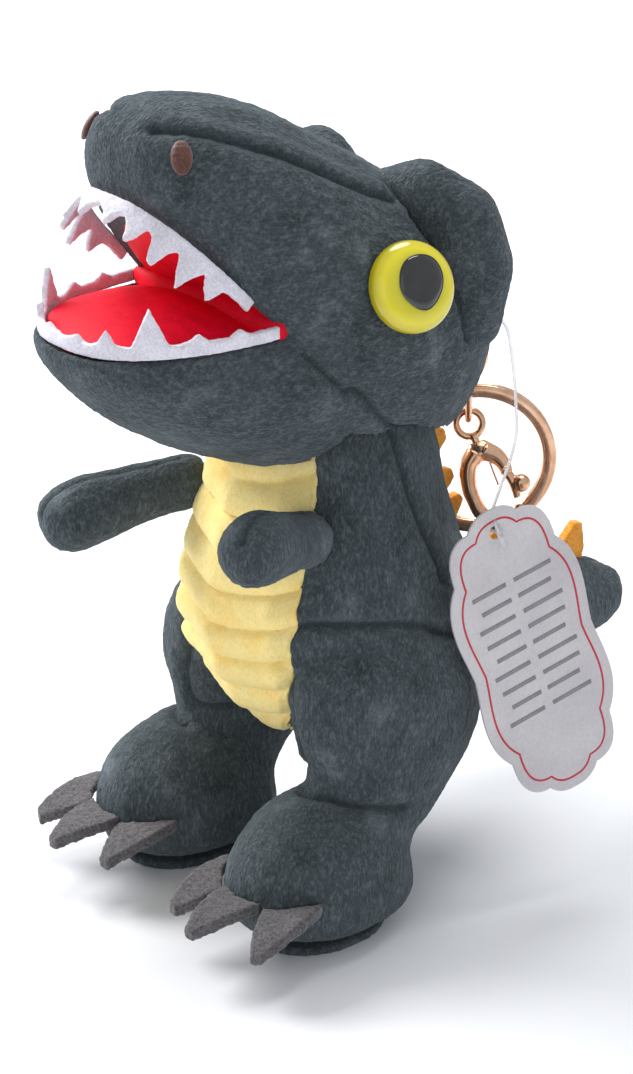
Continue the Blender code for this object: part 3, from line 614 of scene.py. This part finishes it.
# %% Skin helper
def copied(bm, node):
    """Adds a merged copy of a CAD node to a bmesh and returns its points."""
    known = set(bm.verts)
    bm.from_mesh(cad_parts[node].data)
    verts = [vert for vert in bm.verts if vert not in known]
    bmesh.ops.remove_doubles(bm, verts=verts, dist=1e-6)
    bm.normal_update()
    return [vert for vert in bm.verts if vert not in known]


def remeshed(bm, name, voxel):
    """One even skin round everything in a bmesh, with squares of voxel millimetres."""
    rough = object_from(bm, f"{name}_rough")
    modifier = rough.modifiers.new("even", "REMESH")
    modifier.mode = "VOXEL"
    modifier.voxel_size = voxel * MM
    evaluated = rough.evaluated_get(bpy.context.evaluated_depsgraph_get())
    mesh = bpy.data.meshes.new_from_object(evaluated)
    bpy.data.objects.remove(rough)
    return mesh


def outer_skin(mesh):
    """Keeps the largest connected part of a mesh, as a bmesh."""
    bm = bmesh.new()
    bm.from_mesh(mesh)
    bpy.data.meshes.remove(mesh)
    left = set(bm.verts)
    largest = []
    while left:
        seed = left.pop()
        part, edge_of_part = [seed], [seed]
        while edge_of_part:
            vert = edge_of_part.pop()
            for edge in vert.link_edges:
                other = edge.other_vert(vert)
                if other in left:
                    left.remove(other)
                    part.append(other)
                    edge_of_part.append(other)
        if len(part) > len(largest):
            largest = part
    keep = set(largest)
    bmesh.ops.delete(bm, geom=[vert for vert in bm.verts if vert not in keep], context="VERTS")
    return bm


def smoothed(bm, rounds):
    """Evens out a bmesh, each round taking every point half way to its neighbours' middle."""
    every_axis = {"use_axis_x": True, "use_axis_y": True, "use_axis_z": True}
    for _ in range(rounds):
        bmesh.ops.smooth_vert(bm, verts=bm.verts, factor=0.5, **every_axis)
    return bm


FATTEN = 1.4


def stuffed_skin(name, nodes, voxel, rounds):
    """The outer skin of a stuffed form, smoothed by some rounds."""
    bm = bmesh.new()
    for node in nodes:
        verts = copied(bm, node)
        if node.endswith("stuffing"):
            for vert in verts:
                vert.co += vert.normal * FATTEN * MM
    return object_from(smoothed(outer_skin(remeshed(bm, name, voxel)), rounds), name)


# %% [markdown]
# Seams are sewn after the remesh, which would have swallowed them. A seam is a line on the skin:
# its points are dropped onto the nearest fabric, and every point of the skin near the line is
# drawn in, while the fabric on both sides stands up a little, as stuffing makes it. The same
# distance fills the attribute that paints shade into the fold.

# %% Sewing helpers
def distance_to_line(co, line):
    """How far each point is from a line of points."""
    nearest = np.full(len(co), 1e9)
    for a, b in zip(line, line[1:]):
        a, b = np.array(a), np.array(b)
        along = np.clip((co - a) @ (b - a) / max((b - a) @ (b - a), 1e-12), 0, 1)
        nearest = np.minimum(nearest, np.linalg.norm(co - (a + along[:, None] * (b - a)), axis=1))
    return nearest


SWELL_AWAY, SWELL_WIDTH = 2.6, 1.6
FOLD_SHADE = 0.85


def sew(obj, lines, width=0.75, depth=0.9, puff=0.35):
    """Draws the skin in along lines that are given by points in the toy's millimetres."""
    mesh = obj.data
    co, normals = points_of(mesh), normals_of(mesh)
    tree = BVHTree.FromPolygons(co.tolist(), [tuple(p.vertices) for p in mesh.polygons])
    painted_fold_shade = np.zeros(len(co))
    move = np.zeros(len(co))
    for points in lines:
        smooth = smooth_line([at(*point) for point in points], 8)
        line = [tree.find_nearest(point)[0] for point in smooth]
        away = distance_to_line(co, line) / MM
        painted_fold_shade = np.maximum(painted_fold_shade, np.exp(-((away / (width * 0.9)) ** 2)))
        swell = np.exp(-(((away - SWELL_AWAY) / SWELL_WIDTH) ** 2))
        move += puff * swell - depth * np.exp(-((away / width) ** 2))
    move_points(mesh, co + normals * move[:, None] * MM)
    # Painted shade: this attribute darkens the plush colour in the fold along each seam.
    seam_shade_layer = mesh.attributes.get("seam_shade") or mesh.attributes.new("seam_shade", "FLOAT", "POINT")
    seam_shade_layer.data.foreach_set("value", (FOLD_SHADE * painted_fold_shade).astype(np.float32))
    return obj


RIDGE_SIZE, RIDGE_DEPTH = 1.1, 0.16
DENT_SIZE, DENT_DEPTH = 8, 0.28


def brush(obj, nap, seed=0.0):
    """Lays the pile in short ridges along the nap, with broad soft dents under them."""
    mesh = obj.data
    co, normals = points_of(mesh), normals_of(mesh)
    along = Vector(nap).normalized()
    lift = np.empty(len(co))
    for index, point in enumerate(co):
        here = Vector(point) / MM
        streak = (here - along * here.dot(along) * 0.62) / RIDGE_SIZE
        ridges = noise.noise(streak + Vector((seed, 0, 0))) + 0.6 * noise.noise(streak * 2.3)
        dents = noise.noise(here / DENT_SIZE + Vector((0, seed, 3)))
        lift[index] = RIDGE_DEPTH * ridges + DENT_DEPTH * dents
    move_points(mesh, co + normals * lift[:, None] * MM)
    return obj


# %% [markdown]
# ## Body, legs and tail
#
# The body is one bag with a tail, and each leg is a bag of its own, sewn on at the hip. They move
# as one, so they are remeshed together. The hip seam, the thigh's front and side seams and the
# ankle crease are then sewn in.

# %% Body
BAGS = ("torso", "left_leg", "right_leg")
BODY_NODES = [f"{bag}_{layer}" for bag in BAGS for layer in ("cover", "stuffing")]

body = stuffed_skin("body_skin", BODY_NODES, 0.58, 4)
body_seams = []
for side in (1, -1):
    hip = [(16.5, -23, 60), (22, -16, 61), (27, -2, 59), (27, 10, 54), (22, 20, 44)]
    shin = [(14, -20, 52), (14, -20, 44), (16, -20, 38), (17, -17, 32)]
    ankle = [(6, -11, 30), (12, -17, 30), (19, -19, 30), (27, -14, 27), (30, -4, 24)]
    calf = [(20, 20, 40), (24, 14, 30), (24, 8, 22), (21, 3, 13)]
    flank = [(21.5, 0, 98), (23, 3, 88), (24.5, 6, 76), (27, 10, 64)]
    body_seams += [[(side * x, y, z) for x, y, z in line] for line in (hip, shin, ankle, calf, flank)]
body_seams.append([(0, 27, 60), (0, 34, 57), (0, 46, 52), (0, 58, 48), (0, 70, 43), (0, 78, 38)])
sew(body, body_seams)
brush(body, (0, 0.3, 1))
finish_piece(body, body_plush, None, BODY_NODES, "grey_plush")
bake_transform(body)

# %% [markdown]
# ## Head
#
# The head is cut from a top panel and two side panels, so a seam runs along each side of the
# snout up to the brow. The jaws are open, and the rim of each lip is a sharp fold where the plush
# meets the red lining.

# %% Head
head = stuffed_skin("head_skin", ["head_cover", "head_stuffing"], 0.52, 4)
head_seams = []
for side in (1, -1):
    snout = [(7, -41, 153.5), (13, -34, 153), (17.5, -20, 149), (19.5, -6, 142), (18, 5, 136)]
    cheek = [(22.5, -21, 114), (24.5, -14, 107), (25, -6, 98), (23, 4, 88)]
    brow_edge = [(13, 5, 136), (20, 9, 132), (23.5, 12, 126), (25, 13, 118), (23, 14, 109)]
    head_seams += [[(side * x, y, z) for x, y, z in line] for line in (snout, cheek, brow_edge)]
head_seams.append([(0, 30, 126), (0, 32, 116), (0, 31, 104)])
sew(head, head_seams)
brush(head, (0, -1, 0.35), seed=7.0)
finish_piece(head, head_plush, "head", ["head_cover", "head_stuffing"], "grey_plush")

# %% [markdown]
# ## Arms
#
# Each arm is a small stuffed tube, closed round at the paw and sewn shut at the shoulder. The
# cloth of the shoulder bends when the arm is lifted.

# %% Arms
ARM_DIRECTIONS = {"left": Vector((0.42, -0.84, 0.34)), "right": Vector((-0.30, -0.94, -0.12))}
for name, side in (("left", 1), ("right", -1)):
    direction = ARM_DIRECTIONS[name].normalized()
    shoulder = Vector((side * 17.3, -17.2, 77.0))
    stations = ((1, 5), (12, 6), (24, 6), (29, 1))
    top_seam = [shoulder + direction * along + Vector((0, 0, up)) for along, up in stations]
    arm = stuffed_skin(f"{name}_arm_skin", [f"{name}_arm_cover", f"{name}_arm_stuffing"], 0.42, 4)
    sew(arm, [top_seam], 0.6, 0.55, 0.2)
    brush(arm, direction, seed=side * 3.0)
    finish_piece(arm, body_plush, None, [f"{name}_arm_cover", f"{name}_arm_stuffing"], "grey_plush")
    start, end = at(*(shoulder - direction * 3)), at(*(shoulder + direction * 3))
    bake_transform(arm)

# %% [markdown]
# ## Belly
#
# The belly is a leaf of ribbed plush let into the front: nine or ten plump ribs that sag a little
# in the middle. It starts as a flat grid. Each point is dropped straight back onto the body's
# skin, so the panel follows the body, and the ribs then lift it off again. They lift along a
# smooth direction, not along the brushed skin's own normals, which would fold the grid. The ribs
# fade at the border, where the panel is sewn down.

# %% Belly
BELLY_BOTTOM, BELLY_TOP = 29.5, 98.5
BELLY_WIDTHS = [
    (29.5, 0.6), (32, 4.5), (40, 11.0), (50, 15.2), (62, 16.3), (75, 15.8), (86, 13.9), (98.5, 10.8),
]
RIB_PITCH = 6.7


def belly_width(z):
    heights, widths = zip(*BELLY_WIDTHS)
    return float(np.interp(z, heights, widths))


body_faces = [tuple(polygon.vertices) for polygon in body.data.polygons]
skin_tree = BVHTree.FromPolygons(points_of(body.data).tolist(), body_faces)
bm = bmesh.new()
bmesh.ops.create_grid(bm, x_segments=64, y_segments=210, size=0.5)
for vert in bm.verts:
    across, up = vert.co.x * 2, vert.co.y + 0.5
    z = BELLY_BOTTOM + up * (BELLY_TOP - BELLY_BOTTOM)
    x = across * belly_width(z)
    front = skin_tree.ray_cast(Vector((x * MM, -0.09, z * MM)), Vector((0, 1, 0)))
    sag = 3.6 * (1 - across * across)
    phase = (z + sag) / RIB_PITCH
    rib = abs(math.sin(math.pi * phase)) ** 0.55
    edge = min(1.0, (1 - abs(across)) * belly_width(z) / 2.2, (z - BELLY_BOTTOM) / 2.0)
    wobble = 0.25 * noise.noise(Vector((x, 0, z)) / 3.5)
    lift = (0.7 + (2.0 * rib + wobble) * math.sqrt(max(edge, 0.0)) - 0.9 * (1 - edge)) * MM
    outwards = Vector((x / 28, -1, min(0.0, z - 50) / 30)).normalized()
    vert.co = front[0] + outwards * lift
bmesh.ops.recalc_face_normals(bm, faces=bm.faces)
belly = object_from(bm, "belly_ribs")
wall = belly.modifiers.new("wall", "SOLIDIFY")
wall.thickness = 0.8 * MM
wall.offset = -1.0
finish_piece(belly, belly_plush, None, ["belly_panel"], "yellow_plush")
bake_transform(belly)

# %% [markdown]
# ## Felt pieces
#
# Spikes, claws and teeth are all cut from felt, and the CAD already has their outlines. A cut
# piece of felt is not a sharp plate, though: its edges are soft and its faces are a little
# uneven. A fine remesh of a copy, a few rounds of smoothing and a small noise give exactly that.

# %% Felt helper
def felt_piece(name, node, material, body, slot, voxel=0.32, rounds=3, uneven=0.1, shape=None):
    """A softened copy of a CAD felt plate. shape, if given, moves its points first."""
    bm = bmesh.new()
    verts = copied(bm, node)
    if shape:
        for _ in range(2):
            bmesh.ops.subdivide_edges(bm, edges=bm.edges, cuts=1, use_grid_fill=True)
        for vert in bm.verts:
            vert.co = shape(vert.co)
    skin = smoothed(outer_skin(remeshed(bm, name, voxel)), rounds)
    skin.normal_update()
    for vert in skin.verts:
        here = vert.co / MM
        lift = uneven * (noise.noise(here / 0.9) + 0.6 * noise.noise(here / 2.5))
        vert.co += vert.normal * lift * MM
    return piece_from(skin, name, material, body, [node], slot)


# %% Spikes
def spread_from(centre, share):
    """Grows a flat piece in its own plane, which is upright along the toy."""
    growth = Vector((1, share, share))
    return lambda co: centre + (co - centre) * growth


for number in range(1, 7):
    node = f"back_spike_{number}"
    spread = spread_from(middle(node), 1.0 if number in (2, 3) else 1.16)
    felt_piece(f"spine_spike_{number}", node, spike_felt, "torso", "orange_felt", shape=spread)

# %% [markdown]
# The claws droop from the front of the foot towards the floor, and they splay. The droop grows
# with the square of the distance from the root, as a bent leaf does.

# %% Claws
def drooped(root_y, amount):
    def shape(co):
        reach = max(0.0, root_y - co.y) / MM
        fall = amount * reach * reach
        return co + Vector((0, -0.10 * reach * MM, -fall * MM))
    return shape


for side in ("left", "right"):
    for place in ("inner", "middle", "outer"):
        node = f"{side}_claw_{place}"
        bent = drooped(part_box(node)[1].y - 3 * MM, 0.026)
        felt_piece(f"{side}_{place}_claw", node, claw_felt, "torso", "grey_felt", 0.36, 3, 0.16, bent)

# %% Soles
for side in ("left", "right"):
    felt_piece(f"{side}_foot_sole", f"{side}_sole", body_plush, "torso", "grey_plush", 0.5, 2, 0.05)

# %% [markdown]
# ## Mouth
#
# The lining of the mouth is two pieces of smooth red knit. The lower one is stuffed from below
# into a low dome, which reads as a tongue, and the upper one hollows up into the palate. The teeth
# are strips of white felt sewn in along the lips.

# %% Lining
LINING_VOXEL = 0.5


def lining(name, node, bulge):
    bm = bmesh.new()
    copied(bm, node)
    skin = outer_skin(remeshed(bm, name, LINING_VOXEL))
    low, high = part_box(node)
    centre, half = (low + high) / 2, (high - low) / 2
    for vert in skin.verts:
        across = (vert.co.x - centre.x) / half.x
        along = (vert.co.y - centre.y) / half.y
        dome = max(0.0, 1 - across * across) * max(0.0, 1 - along * along)
        vert.co += Vector(bulge) * MM * dome ** 0.7
    return finish_piece(object_from(smoothed(skin, 5), name), mouth_knit, "head", [node], "red_lining")


lining("tongue", "tongue_lining", (0, 0, 5.0))
lining("palate", "palate_lining", (0, 0.6, -0.6))

# %% [markdown]
# Where the two linings meet at the back of the mouth the knit is rolled into a soft fold. It is a
# tube across the head that thins at both ends, half hidden behind the tongue.

# %% Fold of the mouth
bm = bmesh.new()
fold_line = [at(x * 2.0, -24.6 + 0.004 * x * x, 118.0) for x in range(-10, 11)]
fold_radii = [3.0 * MM * math.sqrt(max(0.12, 1 - (abs(x) / 10.4) ** 6)) for x in range(-10, 11)]
sweep(bm, fold_line, fold_radii, sides=24)
piece_from(bm, "mouth_fold", mouth_knit, "head", slot="red_lining")

# %% Teeth
def tucked(co):
    """Draws the upper strip in under the lip, which overhangs it."""
    return Vector((co.x * 0.92, co.y + 0.6 * MM, co.z + 0.7 * MM))


felt_piece("upper_tooth_strip", "upper_teeth", tooth_felt, "head", "white_felt", 0.28, 2, 0.1, tucked)
felt_piece("lower_tooth_strip", "lower_teeth", tooth_felt, "head", "white_felt", 0.28, 2, 0.1)

# %% [markdown]
# ## Eyes, nostrils and brows
#
# A safety eye is a turned plastic dome on a shank that a washer locks inside the head. Half its
# profile, spun all the way round, is the whole eye. The pupil is a thin black lens set into the
# dome, a little oval and a little off the middle, which gives the toy its look.

# %% Eyes
def spun(bm, profile, steps=72):
    """Turns a profile of (radius, height) in millimetres round Z into a closed piece."""
    verts = [bm.verts.new(Vector((radius, 0, height)) * MM) for radius, height in profile]
    edges = [bm.edges.new(pair) for pair in zip(verts, verts[1:])]
    axis = {"cent": (0, 0, 0), "axis": (0, 0, 1)}
    bmesh.ops.spin(bm, geom=verts + edges, angle=math.tau, steps=steps, use_merge=True, **axis)
    bmesh.ops.remove_doubles(bm, verts=bm.verts, dist=1e-6)
    bmesh.ops.recalc_face_normals(bm, faces=bm.faces)


def dome_profile(radius, height, rim, steps=18):
    """A lens: a rounded rim, then an arc up to the top."""
    profile = [(0, 0), (radius - 0.5, 0), (radius - 0.1, 0.25), (radius, 0.7), (radius - 0.1, rim)]
    for step in range(1, steps + 1):
        share = step / steps
        angle = share * math.pi / 2
        profile.append(((radius - 0.1) * math.cos(angle), rim + (height - rim) * math.sin(angle)))
    profile[-1] = (0, height)
    return profile


for name, side in (("left", 1), ("right", -1)):
    normal = Vector((side * side_normal.x, side_normal.y, side_normal.z))
    turn = normal.to_track_quat("Z", "Y").to_matrix().to_4x4()
    face = Matrix.Translation(at(side * EYE.x, EYE.y, EYE.z)) @ turn
    bm = bmesh.new()
    spun(bm, dome_profile(8.0, 4.0, 1.2))
    carry(bm, face)
    dome_nodes = [f"{name}_eye", f"{name}_eye_washer"]
    piece_from(bm, f"{name}_eye_dome", eye_yellow, "head", dome_nodes, "yellow_plastic")

    pupil_middle = middle(f"{name}_pupil")
    bm = bmesh.new()
    spun(bm, dome_profile(4.5, 1.5, 0.5, 10), 56)
    for vert in bm.verts:
        angle = math.atan2(vert.co.y, vert.co.x)
        vert.co.x *= 0.92 * (1 + 0.05 * math.sin(2 * angle + 0.6))
        vert.co.y *= 1.06 * (1 + 0.04 * math.sin(3 * angle))
    tilt = Matrix.Translation(pupil_middle + normal * 0.3 * MM) @ turn
    carry(bm, tilt)
    piece_from(bm, f"{name}_pupil_lens", pupil_black, "head", [f"{name}_pupil"], "black_plastic")

# %% [markdown]
# The nostrils are satin stitch: thread laid side by side in a small oval. A sphere squashed to an
# oval button is enough once its surface rises and falls with each thread.

# %% Nostrils
for name, side in (("left", 1), ("right", -1)):
    bm = bmesh.new()
    bmesh.ops.create_uvsphere(bm, u_segments=64, v_segments=48, radius=1.0)
    for vert in bm.verts:
        ridge = 1 + 0.035 * abs(math.sin(vert.co.y * 9.0)) if vert.co.z > -0.2 else 1
        vert.co = Vector((vert.co.x * 1.75, vert.co.y * 2.8, vert.co.z * 0.95)) * MM * ridge
    facing = Vector((side * 0.72, -0.50, 0.48)).to_track_quat("Z", "Y").to_matrix().to_4x4()
    carry(bm, Matrix.Translation(middle(f"{name}_nostril")) @ facing)
    stitch = object_from(bm, f"{name}_nostril_stitch")
    finish_piece(stitch, brown_thread, "head", [f"{name}_nostril"], "brown_thread")

# %% [markdown]
# Each brow is a padded flap of plush over and behind the eye. A row of overlapping balls along its
# line, remeshed and smoothed, gives a plump form with no hard join.

# %% Brows
def padded_row(name, balls, voxel, rounds):
    """A plump form round balls given as (point, radius) in the toy's millimetres."""
    bm = bmesh.new()
    for (start, start_radius), (end, end_radius) in zip(balls, balls[1:]):
        known = set(bm.verts)
        for point, radius in ((start, start_radius), (end, end_radius)):
            place = Matrix.Translation(at(*point))
            bmesh.ops.create_icosphere(bm, subdivisions=3, radius=radius * MM, matrix=place)
        fresh = [vert for vert in bm.verts if vert not in known]
        hull = bmesh.ops.convex_hull(bm, input=fresh)
        covered = set(hull["geom_interior"] + hull["geom_unused"])
        bmesh.ops.delete(bm, geom=[vert for vert in fresh if vert in covered], context="VERTS")
    return object_from(smoothed(outer_skin(remeshed(bm, name, voxel)), rounds), name)


for name, side in (("left", 1), ("right", -1)):
    brow = padded_row(f"{name}_brow_flap", [
        ((side * 8, 8, 133.5), 3.5),
        ((side * 14, 12, 133.5), 6.0),
        ((side * 18.5, 16.5, 128.5), 7.5),
        ((side * 19.5, 19, 119.5), 7.5),
        ((side * 18.5, 20, 110), 6.0),
    ], 0.45, 12)
    brush(brow, (0, 0.4, -1), seed=side * 5.0)
    finish_piece(brow, head_plush, "head", [f"{name}_brow"], "grey_plush")

# %% [markdown]
# ## Chain, ring and clasp
#
# A folded ribbon is sewn into the back of the head. Two wire links hang from it, and the split
# ring and the lobster clasp share the lower one. The wires are swept tubes, and the ring is a
# spun section with rounded edges and the fine line where its two coils meet.

# %% Ribbon
def oblong(across, along, steps=12):
    """A link's middle line in its own plane, its long way along Y, in millimetres."""
    half = across / 2
    straight = along / 2 - half
    line = []
    for centre, start in ((straight, 0), (-straight, math.pi)):
        for step in range(steps + 1):
            angle = start + math.pi * step / steps
            line.append(Vector((half * math.cos(angle), centre + half * math.sin(angle), 0)))
    return line


ACROSS_CHAIN, FACING = Vector((0.643, 0.766, 0)), Vector((0.766, -0.643, 0))
UP = Vector((0, 0, 1))
ribbon_middle = at(0, 36.0, 102.9)
bm = bmesh.new()
ribbon_plane = Matrix(((0, 0, 1), (0, 1, 0), (1, 0, 0)))
ribbon_line = [ribbon_middle + ribbon_plane @ point * MM for point in oblong(4.6, 9.8)]
sweep(bm, ribbon_line, 0.85 * MM, sides=16, closed=True, flat=0.28)
piece_from(bm, "ribbon_tab", ribbon_weave, "head", ["ribbon_loop"], "ribbon")

# %% Links and ring
WIRE = 0.6
flat_on = Matrix((ACROSS_CHAIN, UP, FACING)).transposed()
edge_on = Matrix((FACING, UP, -ACROSS_CHAIN)).transposed()
for node, (across, along), plane in (
    ("upper_link", (6.0, 13.2), flat_on),
    ("lower_link", (5.4, 11.0), edge_on),
):
    bm = bmesh.new()
    line = [middle(node) + plane @ point * MM for point in oblong(across, along)]
    sweep(bm, line, WIRE * MM, sides=16, closed=True)
    piece_from(bm, f"{node}_wire", rose_gold, node, [node], "rose_gold")

bm = bmesh.new()
ring_section = [
    (12.95, -1.0), (14.85, -1.0), (15.1, -0.85), (15.2, -0.6), (15.2, -0.12),
    (15.02, 0.0), (15.2, 0.12), (15.2, 0.6), (15.1, 0.85), (14.85, 1.0),
    (12.95, 1.0), (12.7, 0.85), (12.6, 0.6), (12.6, 0.12), (12.78, 0.0),
    (12.6, -0.12), (12.6, -0.6), (12.7, -0.85), (12.95, -1.0),
]
spun(bm, ring_section, 128)
ring_place = Matrix.Translation(middle("key_ring")) @ FACING.to_track_quat("Z", "Y").to_matrix().to_4x4()
carry(bm, ring_place)
piece_from(bm, "split_ring", rose_gold, "ring", ["key_ring"], "rose_gold")

# %% [markdown]
# The clasp is cast in one piece: a claw that grows out of a stout shoulder and thins towards its
# tip. A sweep whose radius changes from point to point draws it, drawn flat in the clasp's own
# plane and then carried to where it hangs.

# %% Clasp
hook = at(0, 37.5, 80.55)
clasp_down = Vector((0.51, 0.04, -0.93)).normalized()
clasp_across = (ACROSS_CHAIN - clasp_down * clasp_down.dot(ACROSS_CHAIN)).normalized()
clasp_facing = clasp_across.cross(clasp_down)
clasp_turn = Matrix((clasp_across, clasp_down, clasp_facing)).transposed().to_4x4()
in_clasp = Matrix.Translation(hook) @ clasp_turn


def clasp_sweep(bm, stations, sides=20, flat=1.0):
    """A swept piece drawn in the clasp's plane: (across, down from the link, radius) in millimetres."""
    line = smooth_line([Vector((x, y, 0)) for x, y, _ in stations], 5)
    radii = [radius for _, _, radius in stations]
    spread = np.interp(np.linspace(0, len(stations) - 1, len(line)), range(len(stations)), radii)
    sweep(bm, [point * MM for point in line], [float(r) * MM for r in spread], sides=sides, flat=flat)


def cast(bm, name, voxel, rounds):
    """Carries a drawing to where the clasp hangs and melts its parts into one skin."""
    carry(bm, in_clasp)
    return object_from(smoothed(outer_skin(remeshed(bm, name, voxel)), rounds), name)


# %% [markdown]
# The claw has three strokes: the shoulder that the swivel's stem turns in, the long hook that comes
# round to the tip, and the short seat that holds the gate's rivet.

# %% Claw
bm = bmesh.new()
clasp_sweep(bm, [(0, 4.6, 1.6), (0, 5.6, 2.6), (0, 6.8, 3.1), (0, 7.8, 2.7)], flat=0.72)
clasp_sweep(bm, [
    (-0.8, 6.6, 2.0), (-2.9, 8.4, 1.8), (-4.0, 11.5, 1.55), (-4.1, 14.5, 1.4), (-3.6, 17.6, 1.45),
    (-1.9, 20.0, 1.45), (0.5, 20.9, 1.3), (2.7, 20.2, 1.1), (3.9, 18.4, 0.75),
], flat=1.25)
clasp_sweep(bm, [(0.8, 6.6, 2.0), (2.6, 8.2, 1.7), (3.5, 10.2, 1.45), (3.6, 12.2, 1.2)], flat=1.25)
finish_piece(cast(bm, "clasp_claw", 0.2, 4), rose_gold, "clasp", ["clasp_body"], "rose_gold")

# %% [markdown]
# The swivel is a wire eye on a stem with a head inside the claw's shoulder, so the claw can turn
# freely. The gate is a small lever with a thumb knob, and a leaf spring behind it keeps it shut.

# %% Swivel and gate
bm = bmesh.new()
eye_angles = [math.tau * step / 40 for step in range(40)]
eye_line = [Vector((2.5 * math.cos(a), 0.85 + 2.5 * math.sin(a), 0)) * MM for a in eye_angles]
sweep(bm, eye_line, 0.7 * MM, sides=20, closed=True)
clasp_sweep(bm, [(0, 3.2, 0.95), (0, 4.0, 0.8), (0, 5.5, 0.8), (0, 7.0, 1.2)])
finish_piece(cast(bm, "swivel_eye", 0.16, 2), rose_gold, "swivel", ["clasp_swivel"], "rose_gold")

bm = bmesh.new()
clasp_sweep(bm, [(3.3, 11.4, 0.9), (3.9, 13.0, 0.95), (4.1, 15.0, 0.9), (3.9, 17.2, 0.7)])
knob = Matrix.Translation(Vector((5.5, 14.8, 0)) * MM)
bmesh.ops.create_uvsphere(bm, u_segments=28, v_segments=20, radius=1.75 * MM, matrix=knob)
finish_piece(cast(bm, "clasp_thumb_gate", 0.16, 3), rose_gold, "gate", ["clasp_gate"], "rose_gold")

bm = bmesh.new()
clasp_sweep(bm, [(1.2, 8.8, 0.2), (1.2, 11.1, 0.2), (1.25, 12.5, 0.2), (1.3, 13.7, 0.2)], sides=10)
carry(bm, in_clasp)
piece_from(bm, "gate_leaf_spring", rose_gold, "clasp", ["gate_spring"], "rose_gold")

bm = bmesh.new()
pin_line = [Vector((3.4, 11.2, z)) * MM for z in (-2.15, -2.05, 2.05, 2.15)]
sweep(bm, pin_line, [0.4 * MM, 0.6 * MM, 0.6 * MM, 0.4 * MM], sides=20)
carry(bm, in_clasp)
piece_from(bm, "gate_rivet", rose_gold, "clasp", ["gate_pin"], "rose_gold")

# %% [markdown]
# Some CAD nodes are never seen, because fabric or the eye closes over them: the stuffing and the
# washers. The pieces above stand for all of them, so no plain CAD solid is left showing. A last
# print lists the nodes that still show.

# %% What still shows
shown = [name for name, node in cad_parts.items() if not node.hide_render]
print("CAD nodes still shown:", shown)

# %% [markdown]
# ## Floor and light
#
# The toy stands on a pale, seamless floor in a bright room. A large window on its right and a
# skylight behind it give soft light, so the snout glows and the near side is in gentle shade.

# %% Floor and light
bm = bmesh.new()
bmesh.ops.create_grid(bm, x_segments=2, y_segments=2, size=15.0)
floor = object_from(bm, "floor")
floor_paint, _ = two_toned("floor_paint", 400, (0.80, 0.81, 0.84), (0.88, 0.88, 0.90), roughness=0.6)
floor.data.materials.append(floor_paint)

world = bpy.data.worlds.new("room")
world.use_nodes = True
world.node_tree.nodes["Background"].inputs["Color"].default_value = (0.93, 0.96, 1.0, 1)
world.node_tree.nodes["Background"].inputs["Strength"].default_value = 0.62
bpy.context.scene.world = world
bpy.context.scene.view_settings.view_transform = "Standard"


TOY_MIDDLE = at(0, 0, 75)


def soft_light(name, place, size, power):
    data = bpy.data.lights.new(name, "AREA")
    data.shape = "DISK"
    data.size = size
    data.energy = power
    aimed(name, data, Vector(place), TOY_MIDDLE)


soft_light("window", (-0.85, -0.25, 0.75), 0.6, 14)
soft_light("ceiling", (-0.2, 0.3, 1.2), 0.7, 8)
soft_light("room_fill", (0.7, -1.0, 0.5), 1.0, 0.8)
